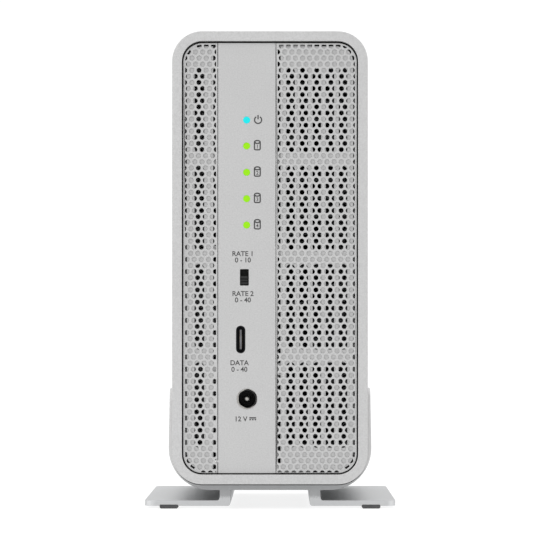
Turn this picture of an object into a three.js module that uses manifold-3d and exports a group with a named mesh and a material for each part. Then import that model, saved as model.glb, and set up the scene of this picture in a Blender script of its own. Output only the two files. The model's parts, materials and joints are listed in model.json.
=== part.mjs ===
// A four-drive solid-state enclosure: an aluminium sleeve that stands upright in a
// cradle, with a chassis of front panels, main board, drives and heat sinks inside.
// Millimetres, +Z up, the front faces -Y. The origin is on the ground, below the middle.
import * as THREE from 'three';
import { mergeVertices } from 'three/addons/utils/BufferGeometryUtils.js';
import Module from 'manifold-3d';

const wasm = await Module();
wasm.setup();

// Sleeve: a rounded tube, open at the front and the rear.
const shellWidth = 66.4;
const shellHeight = 153.6;
const shellDepth = 130;
const shellWall = 3.3;
const shellCorner = 10.2;

// Stand: one extruded cradle with two legs, two foot plates and two side arms.
const standSpan = 85.4;
const standDepth = 122;
const padDrop = 0.9;
const footThickness = 1.9;
const footCorner = 4;
const legRise = 3.5;
const legInnerX = 13.5;
const legWidth = 3.6;
const legFillet = 0.9;
const bridgeThickness = 1.7;
const armThickness = 1.2;
const armTipThickness = 0.8;
const armCorner = 14.2;
const armTopZ = 40.8;
const armTopCorner = 4.3;
const cradleSideGap = 0.1;
const cradleFloorGap = 0.4;
const padWidth = 6.3;
const padLength = 8;
const padEdgeInset = 8.3;
const padSink = 0.4;
const padChamfer = 0.4;
const padShoulder = 0.25;

// Front panels, set back inside the sleeve's rim.
const frontRecess = 2;
const panelGap = 0.6;
const stripGap = 0.2;
const grilleThickness = 0.6;
const ioThickness = 1.5;
const ioCentreX = -7.85;
const ioWidth = 19.5;

// Slotted bracket behind the grilles. Each drive has one block of slots.
const bracketThickness = 1;
const bracketInset = 1.05;
const bracketStripInset = 1.5;
const bandHeight = 4;
const bandOverlap = 1.8;
const lugDepth = 6;
const bayCount = 4;
const bayPitch = 33.35;
const lowestBayZ = 35.25;
const slotWidth = 2.9;
const leftSlotWidth = 3.3;
const slotBar = 4.25;
const slotPitch = 4.45;
const slotsPerBay = 5;
const slotMargin = 1.95;
const leftSlotMargin = 3.05;

// Chassis tray: a C-shaped sheet with stand-offs for the board and two rear tabs.
const trayThickness = 1.2;
const trayGap = 0.5;
const trayReachX = 14;
const trayFrontGap = 3.2;
const trayWebX = -16.6;
const trayWebRearGap = 1;
const standoffDiameter = 5;
const tabHalfWidth = 8;
const tabHeight = 15;

// Main board, upright behind the strip with its parts facing +X.
const boardFaceX = -11.5;
const boardThickness = 1.6;
const boardEndGap = 3.75;
const boardFrontGap = 3.5;
const boardLength = 103;
const boardHoleInset = 4.5;
const boardHoleFrontInset = 15;

// Solid-state drives: 22 x 80 cards, each in a socket and under a finned heat sink.
const cardWidth = 22;
const cardLength = 80;
const cardThickness = 0.8;
const cardLift = 2.6;
const cardSetback = 16;
const cardChipHeight = 1.4;
const socketDepth = 8.4;
const socketHeight = 4.2;
const socketBite = 4;
const cardStandoff = 5.5;
const cardNotch = 3.5;
const cardChips = [
  { setback: 10, length: 18, width: 14 },
  { setback: 31, length: 18, width: 14 },
  { setback: 54, length: 12, width: 12 },
];
const sinkGap = 4.35;
const sinkBase = 2;
const sinkTipX = 25;
const sinkFins = 10;
const finThickness = 1;
const sinkScrewSetback = 7;
const sinkSocketGap = 1.5;

// Controls and connectors in the strip.
const lightX = -7.93;
const lightDiameter = 2.4;
const powerLightZ = 132;
const driveLightZ = 123.2;
const driveLightPitch = 8.95;
const lightFlange = 3.4;
const lightCollar = 1;
const switchX = -8.7;
const switchZ = 78.6;
const switchSlotWidth = 3;
const switchSlotHeight = 5.6;
const knobHeight = 2.9;
const knobTravel = 2;
const knobSideGap = 0.3;
const knobSetback = 0.15;
const switchHeight = 9.2;
const switchDepth = 4.8;
const switchWellDepth = 3.6;
const portX = -9.95;
const portZ = 57.5;
const portWidth = 3.2;
const portHeight = 9.4;
const portDepth = 7.3;
const portWall = 0.3;
const portGap = 0.1;
const portSetback = 0.6;
const tongueThickness = 0.7;
const tongueHeight = 6.7;
const jackX = -7.8;
const jackZ = 37.3;
const jackHole = 7.1;
const jackBore = 5.7;
const jackNoseGap = 0.2;
const jackPin = 2;
const jackDepth = 12;
const jackSetback = 0.4;
const jackHeight = 9.2;
const jackRearWall = 2;
const jackPinSetback = 1;
const controllerSize = 8.8;
const controllerThickness = 1;
const controllerSetback = 3;

// Rear panel with its cooling fan and two thumbscrews.
const rearRecess = 5.5;
const rearThickness = 1.5;
const bossRadius = 4;
const bossInset = 2.4;
const bossDepth = 12;
const fanSize = 50;
const fanDepth = 10;
const fanBore = 47;
const fanHoleSpan = 40;
const fanZ = 96;
const fanHub = 24;
const fanHubDepth = 7;
const fanBlades = 7;
const fanTipGap = 0.8;
const bladeThickness = 1;
const bladeWidth = 9;
const bladePitch = Math.PI / 5;
const fanCorner = 3;
const strutDepth = 1.2;
const strutWidth = 3;
const rotorSetback = 2;
const thumbHead = 9;
const thumbHeadDepth = 4.6;
const thumbFromEdge = 9;
const thumbReach = 1.5;

// Screws: shank and head sizes, and the clearance that each one has in its hole.
const holeGap = 0.2;
const smallShank = 2;
const smallHead = 3.8;
const smallHeadHeight = 1.1;
const panelShank = 2.6;
const panelHead = 4.8;
const panelHeadHeight = 1.5;
const standShank = 2.8;
const standHead = 5.4;
const standHeadHeight = 1.4;

// Gap left between pieces that rest on each other.
const seat = 0.05;

// Steps in each quarter of a curve, in the quarter of a slot's end, and round a turned piece.
const arcSteps = 6;
const slotSteps = 2;
const roundSteps = 16;

// Places that follow from the sizes above.
const footTopZ = padDrop + footThickness;
const bridgeZ = footTopZ + legRise;
const bridgeTopZ = bridgeZ + bridgeThickness;
const shellBottomZ = bridgeTopZ + cradleFloorGap;
const shellMidZ = shellBottomZ + shellHeight / 2;
const shellTopZ = shellBottomZ + shellHeight;
const shellFrontY = -shellDepth / 2;
const shellRearY = shellDepth / 2;
const innerWidth = shellWidth - 2 * shellWall;
const innerHeight = shellHeight - 2 * shellWall;
const innerCorner = shellCorner - shellWall;
const innerBottomZ = shellBottomZ + shellWall;
const innerTopZ = shellTopZ - shellWall;
const panelY = shellFrontY + frontRecess;
const panelBackY = panelY + ioThickness;
const bracketY = panelY + grilleThickness + seat;
const bracketBackY = bracketY + bracketThickness;
const rearPanelBackY = shellRearY - rearRecess;
const rearPanelY = rearPanelBackY - rearThickness;
const trayRearY = rearPanelY - seat;
const trayBottomZ = innerBottomZ + trayGap;
const trayTopZ = innerTopZ - trayGap;
const trayFrontY = panelBackY + trayFrontGap;
const boardFrontY = panelBackY + boardFrontGap;
const boardRearY = boardFrontY + boardLength;
const boardHeight = innerHeight - 2 * boardEndGap;
const boardBackX = boardFaceX - boardThickness;
const trayFaceX = trayWebX + trayThickness;
const boardMidZ = shellMidZ;
const cardFrontY = boardFrontY + cardSetback;
const cardX = boardFaceX + cardLift;
const cardChipTopX = cardX + cardThickness + cardChipHeight;
const bayZ = (bay) => lowestBayZ + bay * bayPitch;
const slotHeight = bayPitch - slotBar;
const sinkHeight = bayPitch - sinkGap;
const driveLights = Array.from({ length: bayCount }, (_, i) => driveLightZ - i * driveLightPitch);
const lightZ = [powerLightZ, ...driveLights];
const knobZ = switchZ - knobTravel / 2;
const jackBodyHalf = jackX - boardFaceX - seat;
const jackNose = jackHole - 2 * jackNoseGap;
const thumbZ = [innerBottomZ + thumbFromEdge, innerTopZ - thumbFromEdge];

const enclosure = new THREE.Group();

function finish(color, roughness, metalness) {
  return new THREE.MeshStandardMaterial({ color, roughness, metalness });
}

const beadBlasted = finish(0xd2d3d3, 0.5, 0.85);
const satinStand = finish(0xb9babb, 0.42, 0.9);
const sheetMetal = finish(0xc6c7c8, 0.5, 0.9);
const blackFins = finish(0x2b2c2e, 0.55, 0.6);
const steel = finish(0xa9abad, 0.35, 1);
const blackSteel = finish(0x1d1e20, 0.45, 0.7);
const blackPlastic = finish(0x121314, 0.5, 0);
const boardGreen = finish(0x12352a, 0.6, 0);
const rubber = finish(0x4b4b4c, 0.9, 0);
const blueLight = finish(0x2ad9ec, 0.3, 0);
const limeLight = finish(0xa5f01a, 0.3, 0);

// Adds one named piece to the enclosure.
function place(name, geometry, material) {
  const mesh = new THREE.Mesh(geometry, material);
  mesh.name = name;
  enclosure.add(mesh);
}

// Booleans.
function toSolid(geometry) {
  const bare = geometry.clone();
  bare.deleteAttribute('normal');
  bare.deleteAttribute('uv');
  const merged = mergeVertices(bare, 1e-4);
  const corners = Array.from(merged.index.array);
  const triangles = [];
  for (let i = 0; i < corners.length; i += 3) {
    const [a, b, c] = corners.slice(i, i + 3);
    if (a !== b && b !== c && c !== a) triangles.push(a, b, c);
  }
  const mesh = new wasm.Mesh({
    numProp: 3,
    vertProperties: new Float32Array(merged.attributes.position.array),
    triVerts: new Uint32Array(triangles),
  });
  return new wasm.Manifold(mesh);
}

function toGeometry(solid) {
  const mesh = solid.getMesh();
  const geometry = new THREE.BufferGeometry();
  geometry.setAttribute('position', new THREE.BufferAttribute(mesh.vertProperties, 3));
  geometry.setIndex(new THREE.BufferAttribute(mesh.triVerts, 1));
  geometry.computeVertexNormals();
  return geometry;
}

function cut(body, tools) {
  return toGeometry(tools.reduce((solid, tool) => solid.subtract(toSolid(tool)), toSolid(body)));
}

function join(pieces) {
  const [first, ...others] = pieces.map(toSolid);
  return toGeometry(others.reduce((solid, other) => solid.add(other), first));
}

function common(body, limits) {
  return toGeometry(limits.reduce((solid, limit) => solid.intersect(toSolid(limit)), toSolid(body)));
}

// Outlines are drawn in X and Z and run along Y.
function extrudeY(outline, fromY, toY, curveSegments = arcSteps) {
  const options = { depth: toY - fromY, bevelEnabled: false, curveSegments };
  return new THREE.ExtrudeGeometry(outline, options).rotateX(Math.PI / 2).translate(0, toY, 0);
}

// Outlines drawn in X and Y that rise along Z.
function extrudeZ(outline, fromZ, toZ) {
  const options = { depth: toZ - fromZ, bevelEnabled: false, curveSegments: arcSteps };
  return new THREE.ExtrudeGeometry(outline, options).translate(0, 0, fromZ);
}

// Outlines drawn in Y and Z that run along X.
function extrudeX(outline, fromX, toX) {
  const options = { depth: toX - fromX, bevelEnabled: false, curveSegments: arcSteps };
  return new THREE.ExtrudeGeometry(outline, options)
    .rotateX(Math.PI / 2).rotateZ(Math.PI / 2).translate(fromX, 0, 0);
}

function roundedRect(outline, left, bottom, right, top, radius) {
  const r = radius;
  outline.moveTo(left + r, bottom);
  outline.lineTo(right - r, bottom);
  outline.absarc(right - r, bottom + r, r, -Math.PI / 2, 0, false);
  outline.lineTo(right, top - r);
  outline.absarc(right - r, top - r, r, 0, Math.PI / 2, false);
  outline.lineTo(left + r, top);
  outline.absarc(left + r, top - r, r, Math.PI / 2, Math.PI, false);
  outline.lineTo(left, bottom + r);
  outline.absarc(left + r, bottom + r, r, Math.PI, 1.5 * Math.PI, false);
  return outline;
}

function box(fromX, toX, fromY, toY, fromZ, toZ) {
  return new THREE.BoxGeometry(toX - fromX, toY - fromY, toZ - fromZ)
    .translate((fromX + toX) / 2, (fromY + toY) / 2, (fromZ + toZ) / 2);
}

// Turned pieces: profile points are [radius, distance], and they start and end on the axis.
function turned(profile, steps = roundSteps) {
  return new THREE.LatheGeometry(profile.map(([r, d]) => new THREE.Vector2(r, d)), steps);
}

function rod(diameter, length, steps = roundSteps) {
  return turned([[0, 0], [diameter / 2, 0], [diameter / 2, length], [0, length]], steps);
}

// A rod along +Y, +X or +Z from its start point.
function rodY(diameter, x, z, fromY, toY, steps) {
  return rod(diameter, toY - fromY, steps).translate(x, fromY, z);
}

function rodX(diameter, y, z, fromX, toX, steps) {
  return rod(diameter, toX - fromX, steps).rotateZ(-Math.PI / 2).translate(fromX, y, z);
}

function rodZ(diameter, x, y, fromZ, toZ, steps) {
  return rod(diameter, toZ - fromZ, steps).rotateX(Math.PI / 2).translate(x, y, fromZ);
}

// A screw along +Y with its head's underside at 0 and its shank towards -Y.
function screw(shank, head, headHeight, length) {
  const edge = headHeight / 3;
  return turned([
    [0, -length], [shank / 2, -length], [shank / 2, 0], [head / 2, 0],
    [head / 2, headHeight - edge], [head / 2 - edge, headHeight], [0, headHeight],
  ], 12);
}

// The opening of the sleeve made smaller all round by a gap, and cut to the range from left to right.
function openingOutline(gap, left, right) {
  const outline = new THREE.Shape();
  const halfWidth = innerWidth / 2 - gap;
  const bottom = innerBottomZ + gap;
  const top = innerTopZ - gap;
  const r = innerCorner - gap;
  const reachesLeft = left <= -halfWidth;
  const reachesRight = right >= halfWidth;
  const x0 = Math.max(left, -halfWidth);
  const x1 = Math.min(right, halfWidth);
  outline.moveTo(reachesLeft ? x0 + r : x0, bottom);
  outline.lineTo(reachesRight ? x1 - r : x1, bottom);
  if (reachesRight) outline.absarc(x1 - r, bottom + r, r, -Math.PI / 2, 0, false);
  outline.lineTo(x1, reachesRight ? top - r : top);
  if (reachesRight) outline.absarc(x1 - r, top - r, r, 0, Math.PI / 2, false);
  outline.lineTo(reachesLeft ? x0 + r : x0, top);
  if (reachesLeft) outline.absarc(x0 + r, top - r, r, Math.PI / 2, Math.PI, false);
  if (reachesLeft) outline.lineTo(x0, bottom + r);
  if (reachesLeft) outline.absarc(x0 + r, bottom + r, r, Math.PI, 1.5 * Math.PI, false);
  return outline;
}

function roundHole(x, z, diameter, steps = roundSteps) {
  const hole = new THREE.Path();
  for (let i = 0; i < steps; i += 1) {
    const angle = -2 * Math.PI * i / steps;
    const point = [x + diameter / 2 * Math.cos(angle), z + diameter / 2 * Math.sin(angle)];
    if (i === 0) hole.moveTo(...point);
    else hole.lineTo(...point);
  }
  return hole;
}

function slotHole(x, z, width, height) {
  return roundedRect(new THREE.Path(), x - width / 2, z - height / 2, x + width / 2, z + height / 2,
    width / 2 - 0.01);
}

const ioLeft = ioCentreX - ioWidth / 2;
const ioRight = ioCentreX + ioWidth / 2;
const bands = [(jackZ + portZ) / 2, (switchZ + lightZ[bayCount]) / 2, (lightZ[1] + lightZ[2]) / 2];
const standScrewY = [-standDepth / 4, standDepth / 4];
const padX = standSpan / 2 - padEdgeInset;
const bossPlaces = [-1, 1].flatMap((side) => [
  [side * (innerWidth / 2 - innerCorner + bossInset), innerBottomZ + innerCorner - bossInset],
  [side * (innerWidth / 2 - innerCorner + bossInset), innerTopZ - innerCorner + bossInset],
]);
const fanHoles = [-1, 1].flatMap((side) => [
  [side * fanHoleSpan / 2, fanZ - fanHoleSpan / 2],
  [side * fanHoleSpan / 2, fanZ + fanHoleSpan / 2],
]);
const boardHoles = [boardFrontY + boardHoleFrontInset, boardRearY - boardHoleInset].flatMap((y) => [
  [y, boardMidZ - boardHeight / 2 + boardHoleInset],
  [y, boardMidZ + boardHeight / 2 - boardHoleInset],
]);

// A countersunk screw from its flat face upwards.
function countersunk(shank, head, headHeight, length) {
  return turned([[0, 0], [head / 2, 0], [shank / 2, headHeight], [shank / 2, length], [0, length]], 12)
    .rotateX(Math.PI / 2);
}

function makeShell() {
  const [halfWidth, halfInner] = [shellWidth / 2, innerWidth / 2];
  const outline = new THREE.Shape();
  const hollow = new THREE.Path();
  roundedRect(outline, -halfWidth, shellBottomZ, halfWidth, shellTopZ, shellCorner);
  roundedRect(hollow, -halfInner, innerBottomZ, halfInner, innerTopZ, innerCorner);
  outline.holes.push(hollow);
  const sleeve = extrudeY(outline, shellFrontY, shellRearY);
  const bossRearY = rearPanelY - seat;
  const bosses = bossPlaces.map(([x, z]) => rodY(2 * bossRadius, x, z, bossRearY - bossDepth, bossRearY));
  const pilot = panelShank + 2 * holeGap;
  const pilotY = bossRearY - bossDepth / 2;
  const pilots = bossPlaces.map(([x, z]) => rodY(pilot, x, z, pilotY, bossRearY + 1, 12));
  const tapped = standScrewY.map((y) =>
    rodZ(standShank + 2 * holeGap, 0, y, shellBottomZ - 1, innerBottomZ - holeGap, 12));
  return cut(join([sleeve, ...bosses]), [...pilots, ...tapped]);
}

// One half of the cradle's section, from the middle of the bridge out and back.
function cradleHalf() {
  const armInner = shellWidth / 2 + cradleSideGap;
  const armOuter = armInner + armThickness;
  const cornerX = shellWidth / 2 - shellCorner;
  const cornerZ = shellBottomZ + shellCorner;
  const legOuter = legInnerX + legWidth;
  const half = new THREE.Path();
  half.moveTo(legInnerX, bridgeZ);
  half.lineTo(legInnerX, padDrop + legFillet);
  half.absarc(legInnerX + legFillet, padDrop + legFillet, legFillet, Math.PI, 1.5 * Math.PI, false);
  half.lineTo(standSpan / 2, padDrop);
  half.lineTo(standSpan / 2, footTopZ);
  half.lineTo(legOuter + legFillet, footTopZ);
  half.absarc(legOuter + legFillet, footTopZ + legFillet, legFillet, -Math.PI / 2, -Math.PI, true);
  half.lineTo(legOuter, bridgeZ);
  half.lineTo(armOuter - armCorner, bridgeZ);
  half.absarc(armOuter - armCorner, bridgeZ + armCorner, armCorner, -Math.PI / 2, 0, false);
  half.lineTo(armInner + armTipThickness, armTopZ);
  half.lineTo(armInner, armTopZ);
  half.absellipse(cornerX, cornerZ, armInner - cornerX, cornerZ - bridgeTopZ, 0, -Math.PI / 2, true);
  return half.getPoints(arcSteps);
}

// A pad's section, in X and Z, grown all round by a gap.
function padSection(x, gap) {
  const half = padWidth / 2 + gap;
  const top = padDrop + padSink + gap;
  const section = new THREE.Shape();
  section.moveTo(x - half + padChamfer, -gap);
  section.lineTo(x + half - padChamfer, -gap);
  section.lineTo(x + half, padChamfer - gap);
  section.lineTo(x + half, top - padShoulder);
  section.lineTo(x + half - padShoulder, top);
  section.lineTo(x - half + padShoulder, top);
  section.lineTo(x - half, top - padShoulder);
  section.lineTo(x - half, padChamfer - gap);
  return section;
}

function makeCradle() {
  const right = cradleHalf();
  const left = right.map((point) => new THREE.Vector2(-point.x, point.y)).reverse();
  const bar = extrudeY(new THREE.Shape([...right, ...left]), -standDepth / 2, standDepth / 2);
  const end = standDepth / 2;
  const plan = roundedRect(new THREE.Shape(), -standSpan / 2, -end, standSpan / 2, end, footCorner);
  const side = new THREE.Shape();
  side.moveTo(-end, 0);
  side.lineTo(end, 0);
  side.absarc(end - armTopCorner, armTopZ - armTopCorner, armTopCorner, 0, Math.PI / 2, false);
  side.absarc(-end + armTopCorner, armTopZ - armTopCorner, armTopCorner, Math.PI / 2, Math.PI, false);
  const trimmed = common(bar, [extrudeZ(plan, 0, shellTopZ), extrudeX(side, -standSpan, standSpan)]);
  const [shank, head] = [standShank + 2 * holeGap, standHead + 2 * holeGap];
  const sinks = standScrewY.map((y) =>
    countersunk(shank, head, standHeadHeight, bridgeThickness + 2 * seat).translate(0, y, bridgeZ - seat));
  const notches = [-padX, padX].flatMap((x) => [
    extrudeY(padSection(x, seat), -end - 1, -end + padLength + seat),
    extrudeY(padSection(x, seat), end - padLength - seat, end + 1),
  ]);
  return cut(trimmed, [...sinks, ...notches]);
}

// A pad let into the underside of a foot plate, level with the plate's end.
function makePad(across, along) {
  const outer = along * (standDepth / 2 - seat);
  const inner = along * (standDepth / 2 - padLength);
  return extrudeY(padSection(across * padX, 0), Math.min(outer, inner), Math.max(outer, inner));
}

function makeGrille(left, right) {
  return extrudeY(openingOutline(panelGap, left, right), panelY, panelY + grilleThickness);
}

function makeIoPlate() {
  const outline = openingOutline(panelGap, ioLeft, ioRight);
  const halfSlot = [switchSlotWidth / 2, switchSlotHeight / 2];
  lightZ.forEach((z) => outline.holes.push(roundHole(lightX, z, lightDiameter + seat)));
  outline.holes.push(roundedRect(new THREE.Path(), switchX - halfSlot[0], switchZ - halfSlot[1],
    switchX + halfSlot[0], switchZ + halfSlot[1], knobSideGap));
  outline.holes.push(slotHole(portX, portZ, portWidth, portHeight));
  outline.holes.push(roundHole(jackX, jackZ, jackHole, 24));
  return extrudeY(outline, panelY, panelBackY);
}

// The bracket: two slotted plates, the bands that join them and the lugs that hold them to the tray.
function makeBracket() {
  const gap = panelGap + bracketInset;
  const leftEdge = ioLeft - stripGap - bracketStripInset;
  const rightEdge = ioRight + stripGap + bracketStripInset;
  const leftSlotX = leftEdge - leftSlotMargin - leftSlotWidth / 2;
  const firstSlotX = rightEdge + slotMargin + slotWidth / 2;
  const leftPlate = openingOutline(gap, -innerWidth, leftEdge);
  const rightPlate = openingOutline(gap, rightEdge, innerWidth);
  for (let bay = 0; bay < bayCount; bay += 1) {
    leftPlate.holes.push(slotHole(leftSlotX, bayZ(bay), leftSlotWidth, slotHeight));
    for (let i = 0; i < slotsPerBay; i += 1) {
      rightPlate.holes.push(slotHole(firstSlotX + i * slotPitch, bayZ(bay), slotWidth, slotHeight));
    }
  }
  const pieces = [leftPlate, rightPlate].map((plate) =>
    extrudeY(plate, bracketY, bracketBackY, slotSteps));
  const bandFromX = leftEdge - bandOverlap;
  const bandToX = rightEdge + bandOverlap;
  const bandFromY = panelBackY + seat;
  const bandToY = bandFromY + bracketThickness;
  const lugX = trayFaceX + seat;
  bands.forEach((z) => {
    const range = [z - bandHeight / 2, z + bandHeight / 2];
    pieces.push(box(bandFromX, bandToX, bandFromY, bandToY, ...range));
    pieces.push(box(lugX, lugX + bracketThickness, bandFromY, bandToY + lugDepth, ...range));
  });
  return join(pieces);
}

function makeTray() {
  const t = trayThickness;
  const webRearY = boardRearY + trayWebRearGap;
  const pieces = [
    box(trayWebX, trayFaceX, trayFrontY, webRearY, trayBottomZ, trayTopZ),
    box(trayWebX, trayReachX, trayFrontY, trayRearY, trayBottomZ, trayBottomZ + t),
    box(trayWebX, trayReachX, trayFrontY, trayRearY, trayTopZ - t, trayTopZ),
    box(-tabHalfWidth, tabHalfWidth, trayRearY - t, trayRearY, trayBottomZ, trayBottomZ + tabHeight),
    box(-tabHalfWidth, tabHalfWidth, trayRearY - t, trayRearY, trayTopZ - tabHeight, trayTopZ),
    ...boardHoles.map(([y, z]) => rodX(standoffDiameter, y, z, trayWebX + t / 2, boardBackX - seat, 12)),
  ];
  const boardPilot = smallShank + 2 * holeGap;
  const tabPilot = panelShank + 2 * holeGap;
  return cut(join(pieces), [
    ...boardHoles.map(([y, z]) => rodX(boardPilot, y, z, trayWebX - 1, boardBackX + 1, 12)),
    ...thumbZ.map((z) => rodY(tabPilot, 0, z, trayRearY - 2 * t, trayRearY + 1, 12)),
  ]);
}

function makeBoard() {
  const bottom = boardMidZ - boardHeight / 2;
  const plate = box(boardBackX, boardFaceX, boardFrontY, boardRearY, bottom, bottom + boardHeight);
  const bays = Array.from({ length: bayCount }, (_, bay) => bayZ(bay));
  const rests = bays.map((z) =>
    rodX(cardStandoff, cardFrontY, z, boardFaceX - boardThickness / 2, cardX - seat, 12));
  const pilot = smallShank + 2 * holeGap;
  return cut(join([plate, ...rests]), [
    ...bays.map((z) => rodX(pilot, cardFrontY, z, boardFaceX - boardThickness / 2, cardX + 1, 10)),
    ...boardHoles.map(([y, z]) => rodX(pilot, y, z, boardBackX - 1, boardFaceX + 1, 12)),
  ]);
}

// A light pipe: a round rod from the strip, a collar behind it, and an elbow to its lamp on the board.
function makeLightPipe(z) {
  const elbowY = boardFrontY + lightDiameter;
  const collarY = panelBackY + seat;
  return join([
    rodY(lightDiameter - seat, lightX, z, panelY, elbowY + lightDiameter / 2, 12),
    rodY(lightFlange, lightX, z, collarY, collarY + lightCollar, 12),
    rodX(lightDiameter, elbowY, z, boardFaceX + 2 * seat, lightX, 12),
  ]);
}

function makeSwitchBody() {
  const half = switchX - boardFaceX - seat;
  const frontY = panelBackY + seat;
  const body = box(switchX - half, switchX + half, frontY, frontY + switchDepth,
    switchZ - switchHeight / 2, switchZ + switchHeight / 2);
  const well = box(switchX - switchSlotWidth / 2, switchX + switchSlotWidth / 2, frontY - 1,
    frontY + switchWellDepth, switchZ - switchSlotHeight / 2, switchZ + switchSlotHeight / 2);
  return cut(body, [well]);
}

function makeKnob() {
  const half = switchSlotWidth / 2 - knobSideGap;
  const rearY = panelBackY + switchWellDepth - knobSideGap;
  return box(switchX - half, switchX + half, panelY + knobSetback, rearY,
    knobZ - knobHeight / 2, knobZ + knobHeight / 2);
}

function stadium(width, height) {
  return roundedRect(new THREE.Shape(), portX - width / 2, portZ - height / 2, portX + width / 2,
    portZ + height / 2, width / 2 - 0.01);
}

function makePortShell() {
  const frontY = panelY + portSetback;
  const [width, height] = [portWidth - 2 * portGap, portHeight - 2 * portGap];
  const can = extrudeY(stadium(width, height), frontY, frontY + portDepth);
  const inside = stadium(width - 2 * portWall, height - 2 * portWall);
  return cut(can, [extrudeY(inside, frontY - 1, frontY + portDepth - portWall)]);
}

function makePortTongue() {
  const frontY = panelY + 2 * portSetback;
  const rearY = panelY + portSetback + portDepth - portWall - seat;
  return box(portX - tongueThickness / 2, portX + tongueThickness / 2, frontY, rearY,
    portZ - tongueHeight / 2, portZ + tongueHeight / 2);
}

function makeJackBody() {
  const bodyY = panelBackY + seat;
  const frontY = panelY + jackSetback;
  const block = box(jackX - jackBodyHalf, jackX + jackBodyHalf, bodyY, bodyY + jackDepth,
    jackZ - jackHeight / 2, jackZ + jackHeight / 2);
  const nose = rodY(jackNose, jackX, jackZ, frontY, bodyY + 1, 24);
  const bore = rodY(jackBore, jackX, jackZ, frontY - 1, bodyY + jackDepth - jackRearWall, 24);
  return cut(join([block, nose]), [bore]);
}

function makeJackPin() {
  const rearY = panelBackY + jackDepth - jackRearWall;
  const frontY = panelY + jackSetback + jackPinSetback;
  const r = jackPin / 2;
  return turned([[0, 0], [r / 2, 0], [r, r / 2], [r, rearY - frontY], [0, rearY - frontY]], 14)
    .translate(jackX, frontY, jackZ);
}

const cardRearY = cardFrontY + cardLength;
const socketFrontY = cardRearY - socketBite;

function makeSocket(z) {
  const backX = boardFaceX + seat;
  const half = cardWidth / 2 + 1;
  const rearY = socketFrontY + socketDepth;
  const body = box(backX, backX + socketHeight, socketFrontY, rearY, z - half, z + half);
  const slot = box(cardX - holeGap, cardX + cardThickness + holeGap, socketFrontY - 1, cardRearY + holeGap,
    z - cardWidth / 2 - holeGap, z + cardWidth / 2 + holeGap);
  return cut(body, [slot]);
}

// A drive card with its screw notch, its controller and two memory chips.
function makeCard(z) {
  const faceX = cardX + cardThickness;
  const board = box(cardX, faceX, cardFrontY, cardRearY, z - cardWidth / 2, z + cardWidth / 2);
  const chips = cardChips.map(({ setback, length, width }) => box(faceX - cardThickness / 2, cardChipTopX,
    cardFrontY + setback, cardFrontY + setback + length, z - width / 2, z + width / 2));
  return cut(join([board, ...chips]), [rodX(cardNotch, cardFrontY, z, cardX - 1, cardChipTopX + 1, 12)]);
}

// A heat sink with level fins, drawn as a comb in X and Z.
function makeSink(z) {
  const baseX = cardChipTopX + seat;
  const finRootX = baseX + sinkBase;
  const bottom = z - sinkHeight / 2;
  const pitch = (sinkHeight - finThickness) / (sinkFins - 1);
  const comb = new THREE.Shape();
  comb.moveTo(baseX, bottom);
  for (let fin = 0; fin < sinkFins; fin += 1) {
    const finZ = bottom + fin * pitch;
    if (fin > 0) comb.lineTo(finRootX, finZ);
    comb.lineTo(sinkTipX, finZ);
    comb.lineTo(sinkTipX, finZ + finThickness);
    if (fin < sinkFins - 1) comb.lineTo(finRootX, finZ + finThickness);
  }
  comb.lineTo(baseX, bottom + sinkHeight);
  return extrudeY(comb, cardFrontY + sinkScrewSetback, socketFrontY - sinkSocketGap);
}

function makeRearPanel() {
  const outline = openingOutline(panelGap, -innerWidth, innerWidth);
  const pilot = panelShank + 2 * holeGap;
  const holes = [...bossPlaces, ...fanHoles, ...thumbZ.map((z) => [0, z])];
  holes.forEach(([x, z]) => outline.holes.push(roundHole(x, z, pilot, 12)));
  return extrudeY(outline, rearPanelY, rearPanelBackY);
}

const fanFrontY = rearPanelY - seat - fanDepth;
const rotorFrontY = fanFrontY + rotorSetback;

function makeFanFrame() {
  const half = fanSize / 2;
  const outline = roundedRect(new THREE.Shape(), -half, fanZ - half, half, fanZ + half, fanCorner);
  outline.holes.push(roundHole(0, fanZ, fanBore, 32));
  fanHoles.forEach(([x, z]) => outline.holes.push(roundHole(x, z, panelShank + 2 * holeGap, 10)));
  const frame = extrudeY(outline, fanFrontY, rearPanelY - seat);
  const strutBackY = fanFrontY + strutDepth;
  const hub = rodY(fanHub, 0, fanZ, fanFrontY, strutBackY, 20);
  const strut = () => box(0, fanBore / 2 + 1, fanFrontY, strutBackY, -strutWidth / 2, strutWidth / 2);
  const struts = [0, 1, 2].map((i) =>
    strut().rotateY((i / 3 + 1 / 12) * 2 * Math.PI).translate(0, 0, fanZ));
  return join([frame, hub, ...struts]);
}

function makeFanRotor() {
  const tip = fanBore / 2 - fanTipGap;
  const hub = rodY(fanHub, 0, fanZ, rotorFrontY, rotorFrontY + fanHubDepth, 24);
  const blades = Array.from({ length: fanBlades }, (_, i) =>
    box(fanHub / 2 - 1, tip, -bladeThickness / 2, bladeThickness / 2, -bladeWidth / 2, bladeWidth / 2)
      .rotateX(bladePitch)
      .rotateY(2 * Math.PI * i / fanBlades)
      .translate(0, rotorFrontY + fanHubDepth / 2, fanZ));
  return join([hub, ...blades]);
}

place('housing_shell', makeShell(), beadBlasted);
place('stand_cradle', makeCradle(), satinStand);
[['front', -1], ['rear', 1]].forEach(([end, along]) => {
  [['left', -1], ['right', 1]].forEach(([side, across]) => {
    place(`foot_pad_${end}_${side}`, makePad(across, along), rubber);
  });
});
standScrewY.forEach((y, i) => {
  const length = innerBottomZ - bridgeZ - 2 * holeGap;
  const screwSolid = countersunk(standShank, standHead, standHeadHeight, length).translate(0, y, bridgeZ);
  place(`stand_screw_${i + 1}`, screwSolid, steel);
});

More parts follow.
